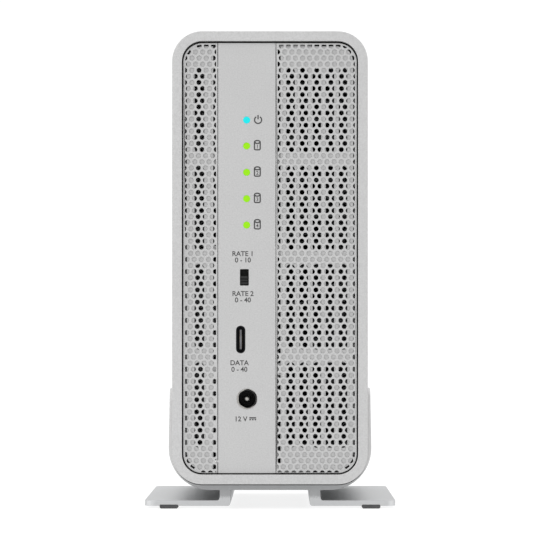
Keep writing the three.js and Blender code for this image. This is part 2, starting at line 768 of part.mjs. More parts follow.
place('rear_panel', makeRearPanel(), sheetMetal);
bossPlaces.forEach(([x, z], i) => {
  const length = rearThickness + bossDepth / 2 - holeGap;
  const screwSolid = screw(panelShank, panelHead, panelHeadHeight, length)
    .translate(x, rearPanelBackY + seat, z);
  place(`rear_panel_screw_${i + 1}`, screwSolid, blackSteel);
});
place('fan_frame', makeFanFrame(), blackPlastic);
place('fan_rotor', makeFanRotor(), blackPlastic);
fanHoles.forEach(([x, z], i) => {
  const screwSolid = screw(panelShank, panelHead, panelHeadHeight, rearThickness + fanDepth * 0.6)
    .translate(x, rearPanelBackY + seat, z);
  place(`fan_screw_${i + 1}`, screwSolid, blackSteel);
});
thumbZ.forEach((z, i) => {
  const length = rearThickness + trayThickness + thumbReach;
  const screwSolid = screw(panelShank, thumbHead, thumbHeadDepth, length)
    .translate(0, rearPanelBackY + seat, z);
  place(`thumb_screw_${i + 1}`, screwSolid, steel);
});

place('grille_left', makeGrille(-innerWidth, ioLeft - stripGap), beadBlasted);
place('grille_right', makeGrille(ioRight + stripGap, innerWidth), beadBlasted);
place('io_plate', makeIoPlate(), beadBlasted);
place('front_bracket', makeBracket(), sheetMetal);
place('chassis_tray', makeTray(), sheetMetal);
place('main_board', makeBoard(), boardGreen);
boardHoles.forEach(([y, z], i) => {
  const screwSolid = screw(smallShank, smallHead, smallHeadHeight, boardThickness + 2)
    .rotateZ(-Math.PI / 2).translate(boardFaceX + seat, y, z);
  place(`board_screw_${i + 1}`, screwSolid, steel);
});
place('light_pipe_power', makeLightPipe(lightZ[0]), blueLight);
for (let i = 1; i <= bayCount; i += 1) place(`light_pipe_drive_${i}`, makeLightPipe(lightZ[i]), limeLight);
place('switch_body', makeSwitchBody(), blackPlastic);
place('switch_knob', makeKnob(), blackPlastic);
place('port_shell', makePortShell(), blackSteel);
place('port_tongue', makePortTongue(), blackPlastic);
place('jack_body', makeJackBody(), blackPlastic);
place('jack_pin', makeJackPin(), steel);

const controllerX = boardFaceX + seat;
const controllerY = boardFrontY + controllerSetback;
const controllerZ = (portZ + switchZ - controllerSize) / 2;
place('controller_chip', box(controllerX, controllerX + controllerThickness,
  controllerY, controllerY + controllerSize, controllerZ, controllerZ + controllerSize), blackPlastic);
for (let bay = 0; bay < bayCount; bay += 1) {
  const number = bayCount - bay;
  const screwSolid = screw(smallShank, smallHead, smallHeadHeight, cardThickness + 1.6)
    .rotateZ(-Math.PI / 2).translate(cardX + cardThickness + seat, cardFrontY, bayZ(bay));
  place(`drive_socket_${number}`, makeSocket(bayZ(bay)), blackPlastic);
  place(`drive_card_${number}`, makeCard(bayZ(bay)), boardGreen);
  place(`drive_sink_${number}`, makeSink(bayZ(bay)), blackFins);
  place(`drive_screw_${number}`, screwSolid, steel);
}

export default enclosure;
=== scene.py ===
import json
import math
import random

import bmesh
import bpy
from mathutils import Matrix, Vector


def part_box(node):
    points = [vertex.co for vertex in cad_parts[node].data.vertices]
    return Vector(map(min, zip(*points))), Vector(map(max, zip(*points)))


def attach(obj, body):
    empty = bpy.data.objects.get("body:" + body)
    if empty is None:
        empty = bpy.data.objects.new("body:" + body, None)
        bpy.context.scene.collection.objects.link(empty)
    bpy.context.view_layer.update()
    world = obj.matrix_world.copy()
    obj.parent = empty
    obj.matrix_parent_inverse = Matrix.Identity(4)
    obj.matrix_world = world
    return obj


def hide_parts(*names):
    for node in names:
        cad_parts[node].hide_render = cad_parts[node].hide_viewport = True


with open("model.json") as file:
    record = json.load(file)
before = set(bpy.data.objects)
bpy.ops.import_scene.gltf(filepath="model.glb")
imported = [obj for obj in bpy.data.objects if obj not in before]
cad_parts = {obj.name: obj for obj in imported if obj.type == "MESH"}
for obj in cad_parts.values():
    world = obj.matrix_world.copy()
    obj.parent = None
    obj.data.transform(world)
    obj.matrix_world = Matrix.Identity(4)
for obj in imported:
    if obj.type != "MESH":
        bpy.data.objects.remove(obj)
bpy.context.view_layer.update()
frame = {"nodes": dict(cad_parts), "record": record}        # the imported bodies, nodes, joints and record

mm = 0.001
weldGap = 0.002 * mm    # corners nearer than this are one corner
levelGap = 0.01 * mm    # points nearer a plane than this lie in it
record = frame["record"]
bodyOf = {node: body for body, members in record["behaviour"]["bodies"].items() for node in members}
slotOf = {part["node"]: part["material_slot"] for part in record["subparts"]}
rootCollection = bpy.context.scene.collection
print("frame loaded:", len(frame["nodes"]), "nodes")


def hexColour(code):  # sRGB hex to linear
    channels = [int(code[i:i + 2], 16) / 255 for i in (0, 2, 4)]
    linear = [c / 12.92 if c <= 0.04045 else ((c + 0.055) / 1.055) ** 2.4 for c in channels]
    return (*linear, 1.0)


def shaded(colour, factor):  # a linear colour made darker or paler
    return (*[min(1.0, factor * c) for c in colour[:3]], 1.0)


def setInputs(node, inputs):  # a value is set; a socket, or a node's first output, is linked
    for key, value in inputs.items():
        if isinstance(value, bpy.types.Node):
            value = value.outputs[0]
        if isinstance(value, bpy.types.NodeSocket):
            node.id_data.links.new(value, node.inputs[key])
        else:
            node.inputs[key].default_value = value


def addNode(tree, kind, inputs=None, **settings):  # one node with its settings, values and links
    node = tree.nodes.new(kind)
    for key, value in settings.items():
        setattr(node, key, value)
    setInputs(node, inputs or {})
    return node


def startMaterial(name, values):  # a Principled material and its object coordinates
    material = bpy.data.materials.new(name)
    material.use_nodes = True
    tree = material.node_tree
    shader = tree.nodes["Principled BSDF"]
    setInputs(shader, values)
    return material, tree, shader, addNode(tree, "ShaderNodeTexCoord").outputs["Object"]


def setRamp(node, stops):  # stops are (position, colour)
    ramp = node.color_ramp
    while len(ramp.elements) < len(stops):
        ramp.elements.new(0.5)
    for element, (position, colour) in zip(ramp.elements, stops):
        element.position = position
        element.color = colour


def addObject(name, data):
    item = bpy.data.objects.new(name, data)
    rootCollection.objects.link(item)
    return item


def evaluatedMesh(item):  # what an object's modifiers make of it, as a plain mesh
    graph = bpy.context.evaluated_depsgraph_get()
    return bpy.data.meshes.new_from_object(item.evaluated_get(graph), depsgraph=graph)


def bakeModifiers(piece):
    mesh = evaluatedMesh(piece)
    piece.modifiers.clear()
    piece.data = mesh


def addPiece(name, mesh, node, material, replacing=True):  # rides with a CAD node and may stand in for it
    piece = addObject(name, mesh)
    mesh.name = name
    mesh.materials.clear()
    mesh.materials.append(material)
    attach(piece, bodyOf[node])
    if replacing:
        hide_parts(node)
    return piece


def smoothByAngle(mesh, degrees=32):
    mesh.shade_smooth()
    mesh.set_sharp_from_angle(angle=math.radians(degrees))


def softenEdges(piece, width, segments=2, degrees=32):  # rounded edges with even shading
    smoothByAngle(piece.data, degrees)
    bevel = piece.modifiers.new("soft edges", "BEVEL")
    bevel.width = width * mm
    bevel.segments = segments
    bevel.limit_method = "ANGLE"
    bevel.angle_limit = math.radians(degrees)
    shading = piece.modifiers.new("even shading", "WEIGHTED_NORMAL")
    shading.keep_sharp = True
    bakeModifiers(piece)


def weldedNode(node):  # a CAD node's loose triangles joined up
    shape = bmesh.new()
    shape.from_mesh(frame["nodes"][node].data)
    bmesh.ops.remove_doubles(shape, verts=shape.verts, dist=weldGap)
    return shape


def meshFromShape(name, shape):
    mesh = bpy.data.meshes.new(name)
    shape.to_mesh(mesh)
    shape.free()
    return mesh


def refineNode(node, material, width, segments=2, grow=0.0):  # a CAD node's own shape, soft-edged
    shape = weldedNode(node)
    bmesh.ops.dissolve_limit(shape, angle_limit=math.radians(0.4), verts=shape.verts, edges=shape.edges)
    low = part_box(node)[0]
    for vert in shape.verts:  # the lower edge may stand out a little further
        if abs(vert.co.z - low.z) < levelGap:
            vert.co.z -= grow * mm
    piece = addPiece(node + "_fine", meshFromShape(node + "_fine", shape), node, material)
    softenEdges(piece, width, segments)


def meshFromParts(name, parts):  # parts are (points, faces); all points in metres
    points, faces = [], []
    for partPoints, partFaces in parts:
        start = len(points)
        points.extend(partPoints)
        faces.extend([[start + i for i in face] for face in partFaces])
    mesh = bpy.data.meshes.new(name)
    mesh.from_pydata([tuple(p) for p in points], [], faces)
    mesh.validate()
    return mesh


def outwardMesh(name, parts):  # parts joined, with no stray points and every face turned outwards
    mesh = meshFromParts(name, parts)
    fixed = bmesh.new()
    fixed.from_mesh(mesh)
    bmesh.ops.delete(fixed, geom=[v for v in fixed.verts if not v.link_faces], context="VERTS")
    bmesh.ops.recalc_face_normals(fixed, faces=fixed.faces)
    fixed.to_mesh(mesh)
    fixed.free()
    return mesh


def bandFaces(count, bands):  # quads between rings of points that follow one another
    return [[count * r + i, count * r + (i + 1) % count, count * (r + 1) + (i + 1) % count, count * (r + 1) + i]
            for r in range(bands) for i in range(count)]


def prism(outline, low, high):  # a closed outline of (Y, Z) carried along X between two levels
    count = len(outline)
    points = [Vector((x, y, z)) for x in (low, high) for y, z in outline]
    return points, [list(range(count))[::-1], list(range(count, 2 * count))] + bandFaces(count, 1)


def turnedPart(profile, steps, place):  # a profile of (radius, distance) turned round a local Z, then placed
    points, faces = [], []
    rings = []
    for radius, distance in profile:
        if radius == 0:
            rings.append([len(points)])
            points.append(place @ Vector((0, 0, distance)))
        else:
            rings.append(list(range(len(points), len(points) + steps)))
            for i in range(steps):
                angle = 2 * math.pi * i / steps
                points.append(place @ Vector((radius * math.cos(angle), radius * math.sin(angle), distance)))
    for lower, upper in zip(rings, rings[1:]):
        for i in range(steps):
            j = (i + 1) % steps
            if len(lower) == 1:
                faces.append([lower[0], upper[j], upper[i]])
            elif len(upper) == 1:
                faces.append([lower[i], lower[j], upper[0]])
            else:
                faces.append([lower[i], lower[j], upper[j], upper[i]])
    return points, faces


facingFront = Matrix.Rotation(math.pi / 2, 4, "X")  # local Z turned to -Y, local Y to +Z
facingRear = Matrix.Rotation(-math.pi / 2, 4, "X")
facingRight = Matrix.Rotation(math.pi / 2, 4, "Y")  # local Z turned to +X
facingDown = Matrix.Rotation(math.pi, 4, "X")


def addGrain(tree, shader, grain, roughness, depth, height):  # gloss that varies with the grain, and its relief
    sheen = addNode(tree, "ShaderNodeMapRange", {"Value": grain, "From Min": 0.3, "From Max": 0.7,
                                                 "To Min": roughness - 0.05, "To Max": roughness + 0.05})
    bump = addNode(tree, "ShaderNodeBump", {"Height": grain, "Strength": depth, "Distance": height * mm})
    setInputs(shader, {"Roughness": sheen, "Normal": bump})


def anodisedAluminium(name, colour, dark, roughness, grain, depth):
    # bead-blasted and clear anodised: an even matt sheen broken up by a fine pale grain
    material, tree, shader, place = startMaterial(name, {"Metallic": 1.0})
    fine = addNode(tree, "ShaderNodeTexNoise", {"Vector": place, "Scale": 1 / (grain * mm), "Detail": 3.0,
                                                "Roughness": 0.65})
    broad = addNode(tree, "ShaderNodeTexNoise", {"Vector": place, "Scale": 1 / (14 * mm), "Detail": 2.0})
    blend = addNode(tree, "ShaderNodeMath", {0: broad, 1: 0.12, 2: fine}, operation="MULTIPLY_ADD")
    tint = addNode(tree, "ShaderNodeValToRGB", {"Fac": blend})
    setRamp(tint, [(0.36, hexColour(dark)), (0.74, hexColour(colour))])
    setInputs(shader, {"Base Color": tint})
    addGrain(tree, shader, fine, roughness, depth, 0.05)
    return material


def anodisedExtrusion(name, foot, legPaintedShade, armPaintedLight, fromZ, toZ, roughness):
    # satin-etched extrusion, smoother than the blasted sleeve; its colour holds painted shade and light by height:
    # darker over the legs and bridge, paler on the feet's edges and up the arms
    material, tree, shader, place = startMaterial(name, {"Metallic": 0.82})
    # painted shade and light: the tone follows the height above the floor, not the metal
    height = addNode(tree, "ShaderNodeSeparateXYZ", {"Vector": place}).outputs["Z"]
    rise = addNode(tree, "ShaderNodeMapRange", {"Value": height, "From Min": fromZ * mm, "From Max": toZ * mm})
    etch = addNode(tree, "ShaderNodeTexNoise", {"Vector": place, "Scale": 1 / (0.35 * mm), "Detail": 3.0})
    tone = addNode(tree, "ShaderNodeMath", {0: etch, 1: 0.16, 2: rise}, operation="MULTIPLY_ADD")
    tint = addNode(tree, "ShaderNodeValToRGB", {"Fac": tone})
    # stops: the feet's edges, painted shade over the legs and bridge, painted light up the arms
    setRamp(tint, [(0.12, hexColour(foot)), (0.2, hexColour(legPaintedShade)), (0.45, hexColour(legPaintedShade)), (1.0, hexColour(armPaintedLight))])
    setInputs(shader, {"Base Color": tint})
    addGrain(tree, shader, etch, roughness, 0.1, 0.04)
    return material


def plainMetal(name, colour, roughness, scratch):
    # plated or mill-finish metal: faint rolling streaks and uneven gloss
    material, tree, shader, place = startMaterial(name, {"Metallic": 1.0})
    stretch = addNode(tree, "ShaderNodeMapping", {"Vector": place, "Scale": (1.0, 1.0, 0.08)})
    streaks = addNode(tree, "ShaderNodeTexNoise", {"Vector": stretch, "Scale": 1 / (scratch * mm), "Detail": 4.0})
    tint = addNode(tree, "ShaderNodeValToRGB", {"Fac": streaks})
    base = hexColour(colour)
    setRamp(tint, [(0.3, shaded(base, 0.86)), (0.7, base)])
    gloss = addNode(tree, "ShaderNodeMapRange", {"Value": streaks, "To Min": roughness - 0.08,
                                                 "To Max": roughness + 0.12})
    setInputs(shader, {"Base Color": tint, "Roughness": gloss})
    return material


def mouldedPlastic(name, colour, roughness, texture, depth):
    # injection-moulded plastic or rubber: one tone, with the mould's fine spark texture
    material, tree, shader, place = startMaterial(name, {"Specular IOR Level": 0.45})
    pits = addNode(tree, "ShaderNodeTexVoronoi", {"Vector": place, "Scale": 1 / (texture * mm)})
    cloud = addNode(tree, "ShaderNodeTexNoise", {"Vector": place, "Scale": 1 / (3 * mm), "Detail": 3.0})
    tint = addNode(tree, "ShaderNodeValToRGB", {"Fac": cloud})
    base = hexColour(colour)
    setRamp(tint, [(0.35, shaded(base, 0.8)), (0.65, shaded(base, 1.15))])
    gloss = addNode(tree, "ShaderNodeMapRange", {"Value": cloud, "To Min": roughness - 0.06,
                                                 "To Max": roughness + 0.08})
    bump = addNode(tree, "ShaderNodeBump", {"Height": pits, "Strength": depth, "Distance": 0.03 * mm})
    setInputs(shader, {"Base Color": tint, "Roughness": gloss, "Normal": bump})
    return material


def litLens(name, core, edge, strength):
    # clear acrylic lit from behind: brightest in the middle, deeper colour at its rim
    material, tree, shader, place = startMaterial(name, {"Roughness": 0.4, "IOR": 1.49, "Specular IOR Level": 0.2,
                                                         "Emission Strength": strength})
    facing = addNode(tree, "ShaderNodeLayerWeight", {"Blend": 0.35}).outputs["Facing"]
    grain = addNode(tree, "ShaderNodeTexNoise", {"Vector": place, "Scale": 1 / (0.6 * mm)})
    mixing = addNode(tree, "ShaderNodeMath", {0: grain, 1: 0.25, 2: facing}, operation="MULTIPLY_ADD")
    tint = addNode(tree, "ShaderNodeValToRGB", {"Fac": mixing})
    setRamp(tint, [(0.1, hexColour(core)), (0.75, hexColour(edge))])
    dim = addNode(tree, "ShaderNodeMix", {"Factor": 0.85, 6: tint, 7: (0.0, 0.0, 0.0, 1.0)}, data_type="RGBA")
    setInputs(shader, {"Base Color": dim.outputs[2], "Emission Color": tint})
    return material


def circuitBoard(name, mask, track):
    # solder mask over copper: a glossy lacquer with slightly paler tracks showing through
    material, tree, shader, place = startMaterial(name, {"Coat Weight": 0.4, "Coat Roughness": 0.15})
    turn = addNode(tree, "ShaderNodeMapping", {"Vector": place, "Rotation": (0.0, math.pi / 2, 0.0)})
    tracks = addNode(tree, "ShaderNodeTexBrick", {"Vector": turn, "Scale": 1 / (5 * mm), "Mortar Size": 0.018,
                                                  "Color1": hexColour(mask), "Color2": hexColour(mask),
                                                  "Mortar": hexColour(track)})
    weave = addNode(tree, "ShaderNodeTexNoise", {"Vector": place, "Scale": 1 / (0.8 * mm)})
    gloss = addNode(tree, "ShaderNodeMapRange", {"Value": weave, "To Min": 0.3, "To Max": 0.5})
    setInputs(shader, {"Base Color": tracks, "Roughness": gloss})
    return material


def printedInk(name, colour):
    # pad-printed ink: dark grey and matt, a little uneven in density
    material, tree, shader, place = startMaterial(name, {"Roughness": 0.7})
    density = addNode(tree, "ShaderNodeTexNoise", {"Vector": place, "Scale": 1 / (0.5 * mm), "Detail": 2.0})
    tint = addNode(tree, "ShaderNodeValToRGB", {"Fac": density})
    base = hexColour(colour)
    setRamp(tint, [(0.3, base), (0.8, shaded(base, 1.5))])
    setInputs(shader, {"Base Color": tint})
    return material


sleeveMetal = anodisedAluminium("clear anodised sleeve", "d2d2d2", "c2c2c2", 0.5, 0.45, 0.25)
panelMetal = anodisedAluminium("clear anodised sheet", "cfcfcf", "bfbfbf", 0.5, 0.45, 0.25)
# the stand's colour is painted darker over its legs and bridge and paler up its arms, as shade and light
standMetalPaintedShade = anodisedExtrusion("satin anodised extrusion with painted shade", "c4c5c6", "a2a3a4", "d2d2d2", 3.0, 15.0, 0.5)
bracketMetal = anodisedAluminium("mill finish sheet", "c6c6c6", "b8b8b8", 0.45, 0.9, 0.1)
nickelSteel = plainMetal("nickel-plated steel", "b4b2ae", 0.3, 0.8)
blackSteel = plainMetal("black zinc steel", "2b2c2e", 0.36, 0.8)
blackPlastic = mouldedPlastic("black glass-filled nylon", "0f0f10", 0.5, 0.25, 0.2)
greyPlastic = mouldedPlastic("grey liquid-crystal polymer", "707074", 0.4, 0.2, 0.1)
padRubber = mouldedPlastic("grey silicone rubber", "4c4c4d", 0.82, 0.35, 0.3)
chipPlastic = mouldedPlastic("moulded epoxy package", "18191a", 0.55, 0.15, 0.15)
finMetal = anodisedAluminium("dark anodised fins", "77797c", "606265", 0.5, 0.5, 0.2)
blueLens = litLens("cyan lit acrylic", "1cecf0", "0aa6b4", 0.85)
limeLens = litLens("lime lit acrylic", "9eec12", "5f9a00", 0.85)
boardLacquer = circuitBoard("green solder mask", "0d3a2a", "17503a")
cardLacquer = circuitBoard("black solder mask", "101316", "1d2226")
markInk = printedInk("dark grey ink", "3e3e3e")
goldPlate = plainMetal("gold-plated contacts", "c9a24b", 0.28, 0.5)
tinPlate = plainMetal("tinned copper", "a9aaac", 0.35, 0.6)
canAluminium = plainMetal("drawn aluminium can", "b9bbbd", 0.3, 0.7)
filterFoam = mouldedPlastic("black open-cell foam", "121213", 0.92, 0.9, 0.9)
ferrite = mouldedPlastic("sintered ferrite", "2b2b2d", 0.75, 0.4, 0.4)
ceramic = mouldedPlastic("fired ceramic", "8a6b4c", 0.5, 0.3, 0.15)
print("materials made")


def startTree(name, inputs, result):  # a Geometry Nodes tree with its named inputs, a material among them
    tree = bpy.data.node_groups.new(name, "GeometryNodeTree")
    for socket, kind in {**inputs, "Material": "Material"}.items():
        tree.interface.new_socket(socket, in_out="INPUT", socket_type="NodeSocket" + kind)
    tree.interface.new_socket(result, in_out="OUTPUT", socket_type="NodeSocketGeometry")
    return tree, addNode(tree, "NodeGroupInput").outputs


def endTree(tree, geometry, given):  # the result is made real and painted
    real = addNode(tree, "GeometryNodeRealizeInstances", {"Geometry": geometry})
    painted = addNode(tree, "GeometryNodeSetMaterial", {"Geometry": real, "Material": given["Material"]})
    addNode(tree, "NodeGroupOutput", {0: painted})
    return tree


def runTree(tree, start, values):  # the tree's result on a start mesh, as a plain mesh
    holder = addObject("holder", start)
    modifier = holder.modifiers.new("tree", "NODES")
    modifier.node_group = tree
    sockets = {item.name: item.identifier for item in tree.interface.items_tree
               if item.item_type == "SOCKET" and item.in_out == "INPUT"}
    for name, value in values.items():
        modifier[sockets[name]] = value
    holder.update_tag()
    mesh = evaluatedMesh(holder)
    bpy.data.objects.remove(holder)
    return mesh


perforation = {  # millimetres; the two patterns lean by a fraction of a degree, as the punched sheets do
    "diameter": 1.66,
    "pitch": 2.414,
    "rowPitch": 2.0715,
    "sides": 16,
    "rimRadius": 0.07,
    "border": 0.5,
    "bottomBorder": 0.08,
    "grow": 0.15,       # drawn out to the burr that closes part of the seam round the panels
    "smallest": 0.3,
    "grille_left": {"anchor": (-24.54, 86.77), "columns": 9, "rows": 73, "lean": 0.4},
    "grille_right": {"anchor": (15.63, 86.77), "columns": 15, "rows": 73, "lean": 0.22},
}
rearVents = {  # round holes over the fan, in millimetres
    "diameter": 2.6,
    "pitch": 3.5,
    "rowPitch": 3.03,
    "columns": 17,
    "rows": 19,
    "sides": 18,
    "fanMargin": 1.2,
    "smallest": 1.2,
    "edge": 0.12,
    "outlineSteps": 48,
}
squareOn = 0.99         # an edge's direction counts as straight down or sideways past this cosine
nearlyStraight = 0.95   # two edges closer in direction than this cosine are moved as one
sheetGap = 0.004 * mm   # points of a cut sheet nearer than this are one point


def perforationTree():
    tree, given = startTree("perforated sheet", {
        "Outline": "Geometry", "Hole diameter": "Float", "Pitch": "Float", "Row pitch": "Float", "Columns": "Int",
        "Rows": "Int", "Sides": "Int", "Anchor": "Vector", "Lean": "Float", "Smallest slit": "Float"}, "Sheet")
    gapsAcross = addNode(tree, "ShaderNodeMath", {0: given["Columns"], 1: 1.0}, operation="SUBTRACT")
    across = addNode(tree, "ShaderNodeMath", {0: gapsAcross, 1: given["Pitch"]}, operation="MULTIPLY")
    gapsUp = addNode(tree, "ShaderNodeMath", {0: given["Rows"], 1: 1.0}, operation="SUBTRACT")
    up = addNode(tree, "ShaderNodeMath", {0: gapsUp, 1: given["Row pitch"]}, operation="MULTIPLY")
    grid = addNode(tree, "GeometryNodeMeshGrid", {"Size X": across, "Size Y": up, "Vertices X": given["Columns"],
                                                  "Vertices Y": given["Rows"]})
    position = addNode(tree, "GeometryNodeInputPosition")
    rise = addNode(tree, "ShaderNodeSeparateXYZ", {"Vector": position}).outputs["Y"]
    rowsUp = addNode(tree, "ShaderNodeMath", {0: rise, 1: given["Row pitch"]}, operation="DIVIDE")
    row = addNode(tree, "ShaderNodeMath", {0: rowsUp}, operation="ROUND")
    odd = addNode(tree, "ShaderNodeMath", {0: row, 1: 2.0}, operation="FLOORED_MODULO")
    halfPitch = addNode(tree, "ShaderNodeMath", {0: given["Pitch"], 1: 0.5}, operation="MULTIPLY")
    shift = addNode(tree, "ShaderNodeMath", {0: odd, 1: halfPitch}, operation="MULTIPLY")
    drift = addNode(tree, "ShaderNodeMath", {0: rise, 1: given["Lean"]}, operation="MULTIPLY")
    sideways = addNode(tree, "ShaderNodeMath", {0: shift, 1: drift}, operation="ADD")
    offset = addNode(tree, "ShaderNodeCombineXYZ", {"X": sideways})
    leaned = addNode(tree, "GeometryNodeSetPosition", {"Geometry": grid, "Offset": offset})
    placed = addNode(tree, "GeometryNodeTransform", {"Geometry": leaned, "Translation": given["Anchor"]})
    radius = addNode(tree, "ShaderNodeMath", {0: given["Hole diameter"], 1: 0.5}, operation="MULTIPLY")
    reach = addNode(tree, "GeometryNodeProximity", {"Geometry": given["Outline"]}, target_element="FACES")
    limit = addNode(tree, "ShaderNodeMath", {0: radius, 1: given["Smallest slit"]}, operation="SUBTRACT")
    tooFar = addNode(tree, "ShaderNodeMath", {0: reach.outputs["Distance"], 1: limit}, operation="GREATER_THAN")
    kept = addNode(tree, "GeometryNodeDeleteGeometry", {"Geometry": placed, "Selection": tooFar}, domain="POINT")
    ring = addNode(tree, "GeometryNodeCurvePrimitiveCircle", {"Resolution": given["Sides"], "Radius": radius})
    rings = addNode(tree, "GeometryNodeInstanceOnPoints", {"Points": kept, "Instance": ring})
    realRings = addNode(tree, "GeometryNodeRealizeInstances", {"Geometry": rings})
    clipped = addNode(tree, "GeometryNodeSetPosition", {"Geometry": realRings,
                                                        "Position": reach.outputs["Position"]})
    neighbours = addNode(tree, "GeometryNodeInputMeshEdgeNeighbors")
    loose = addNode(tree, "FunctionNodeBooleanMath", {0: neighbours}, operation="NOT")
    border = addNode(tree, "GeometryNodeMeshToCurve", {"Mesh": given["Outline"], "Selection": loose})
    loops = addNode(tree, "GeometryNodeJoinGeometry")
    for curves in (border, clipped):
        tree.links.new(curves.outputs[0], loops.inputs[0])
    return endTree(tree, addNode(tree, "GeometryNodeFillCurve", {"Curve": loops}), given)


def plateLoops(node):  # the edges of a plate's front as closed loops of (X, Z), the outer one first
    shape = weldedNode(node)
    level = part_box(node)[0].y
    faces = {f for f in shape.faces if all(abs(v.co.y - level) < levelGap for v in f.verts)}
    following = {}
    for face in [f for f in shape.faces if f in faces]:  # in the mesh's order, so that every run starts alike
        for corner in face.loops:
            if sum(f in faces for f in corner.edge.link_faces) == 1:
                following[corner.vert] = corner.link_loop_next.vert
    loops = []
    while following:
        loop = [next(iter(following))]
        while following[loop[-1]] != loop[0]:
            loop.append(following[loop[-1]])
        for vert in loop:
            del following[vert]
        loops.append([Vector((v.co.x, v.co.z)) for v in loop])
    shape.free()
    loops.sort(key=lambda loop: max(p.x for p in loop) - min(p.x for p in loop), reverse=True)
    return loops


def insetLoop(loop, margin):  # a loop drawn inwards by margin(outward direction)
    area = sum(a.x * b.y - b.x * a.y for a, b in zip(loop, loop[1:] + loop[:1]))
    turn = 1 if area > 0 else -1
    result = []
    for before, here, after in zip(loop[-1:] + loop[:-1], loop, loop[1:] + loop[:1]):
        sides = []
        for a, b in ((before, here), (here, after)):
            along = (b - a).normalized()
            sides.append(Vector((along.y, -along.x)) * turn)
        if sides[0].dot(sides[1]) > nearlyStraight:
            sides = [(sides[0] + sides[1]).normalized()]
        push = Vector((0.0, 0.0))
        for side in sides:
            push += side * margin(side)
        result.append(here - push)
    return result


def sheetStart(name, loops, fields):  # loops as bare edges and the fields that holes may fill as faces
    points, edges, faces = [], [], []
    for loop in loops:
        start = len(points)
        points += [(p.x, p.y, 0.0) for p in loop]
        edges += [(start + i, start + (i + 1) % len(loop)) for i in range(len(loop))]
    for field in fields:
        start = len(points)
        points += [(p.x, p.y, 0.0) for p in field]
        faces.append([start + i for i in range(len(field))])
    mesh = bpy.data.meshes.new(name)
    mesh.from_pydata(points, edges, faces)
    return mesh


def thickenSheet(name, flat, seenY, hiddenY, rim):  # a flat sheet made a plate whose seen edges are eased
    shape = bmesh.new()
    shape.from_mesh(flat)
    bmesh.ops.remove_doubles(shape, verts=shape.verts, dist=sheetGap)
    bmesh.ops.dissolve_degenerate(shape, dist=sheetGap, edges=shape.edges)
    shape.verts.index_update()
    outward = [Vector((0, 0)) for _ in shape.verts]
    border = []
    for edge in shape.edges:
        if len(edge.link_faces) != 1:
            continue
        first, second = edge.verts
        along = (second.co - first.co).normalized()
        away = Vector((along.y, -along.x))
        inside = edge.link_faces[0].calc_center_median() - (first.co + second.co) / 2
        if away.dot(inside.to_2d()) > 0:
            away = -away
        outward[first.index] += away
        outward[second.index] += away
        border.append((first.index, second.index))
    flatPoints = [v.co.copy() for v in shape.verts]
    count = len(flatPoints)
    ease = rim if hiddenY > seenY else -rim
    points = []
    for point, away in zip(flatPoints, outward):
        back = away.normalized() * rim if away.length > 0 else Vector((0, 0))
        points.append((point.x - back.x, seenY, point.y - back.y))
    points += [(p.x, seenY + ease, p.y) for p in flatPoints]
    points += [(p.x, hiddenY, p.y) for p in flatPoints]
    faces = []
    for face in shape.faces:
        loop = [v.index for v in face.verts]
        faces.append(loop)
        faces.append([2 * count + i for i in reversed(loop)])
    for first, second in border:
        for near, far in ((0, count), (count, 2 * count)):
            faces.append([near + second, near + first, far + first, far + second])
    shape.free()
    mesh = outwardMesh(name, [(points, faces)])
    smoothByAngle(mesh, 40)
    return mesh


def makeGrille(node, tree):
    layout = perforation[node]
    low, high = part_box(node)
    loops = plateLoops(node)
    border, bottom = perforation["border"] * mm, perforation["bottomBorder"] * mm
    field = insetLoop(loops[0], lambda away: bottom if away.y < -squareOn else border)
    towardsStrip = 1 if low.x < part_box("io_plate")[0].x else -1
    grow = perforation["grow"] * mm

    def drawnOut(away):  # not on the top edge or the side by the strip
        return 0.0 if away.x * towardsStrip > squareOn else -grow * (1 - max(0.0, away.y))

    edge = insetLoop(loops[0], drawnOut)
    flat = runTree(tree, sheetStart(node + " outline", [edge] + loops[1:], [field]), {
        "Hole diameter": perforation["diameter"] * mm, "Pitch": perforation["pitch"] * mm,
        "Row pitch": perforation["rowPitch"] * mm, "Columns": layout["columns"], "Rows": layout["rows"],
        "Sides": perforation["sides"], "Lean": math.tan(math.radians(layout["lean"])),
        "Anchor": (layout["anchor"][0] * mm, layout["anchor"][1] * mm, 0.0),
        "Smallest slit": perforation["smallest"] * mm, "Material": panelMetal})
    mesh = thickenSheet(node + "_perforated", flat, low.y, high.y, perforation["rimRadius"] * mm)
    addPiece(node + "_perforated", mesh, node, panelMetal)
    print(node, "has", len(mesh.polygons), "faces")


def makeRearPanel(tree):
    low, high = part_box("rear_panel")
    fanLow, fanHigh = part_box("fan_frame")
    rotorLow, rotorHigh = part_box("fan_rotor")
    middle = Vector(((fanLow.x + fanHigh.x) / 2, (fanLow.z + fanHigh.z) / 2))
    radius = (rotorHigh.z - rotorLow.z) / 2 - rearVents["fanMargin"] * mm
    angles = [2 * math.pi * i / rearVents["outlineSteps"] for i in range(rearVents["outlineSteps"])]
    ring = [middle + radius * Vector((math.cos(a), math.sin(a))) for a in angles]
    flat = runTree(tree, sheetStart("rear outline", plateLoops("rear_panel"), [ring]), {
        "Hole diameter": rearVents["diameter"] * mm, "Pitch": rearVents["pitch"] * mm,
        "Row pitch": rearVents["rowPitch"] * mm, "Columns": rearVents["columns"], "Rows": rearVents["rows"],
        "Sides": rearVents["sides"], "Lean": 0.0, "Anchor": (middle.x, middle.y, 0.0),
        "Smallest slit": rearVents["smallest"] * mm, "Material": panelMetal})
    mesh = thickenSheet("rear_panel_vented", flat, high.y, low.y, rearVents["edge"] * mm)
    addPiece("rear_panel_vented", mesh, "rear_panel", panelMetal)
    print("rear panel has", len(mesh.polygons), "faces")


sheetTree = perforationTree()
makeGrille("grille_left", sheetTree)
makeGrille("grille_right", sheetTree)
makeRearPanel(sheetTree)


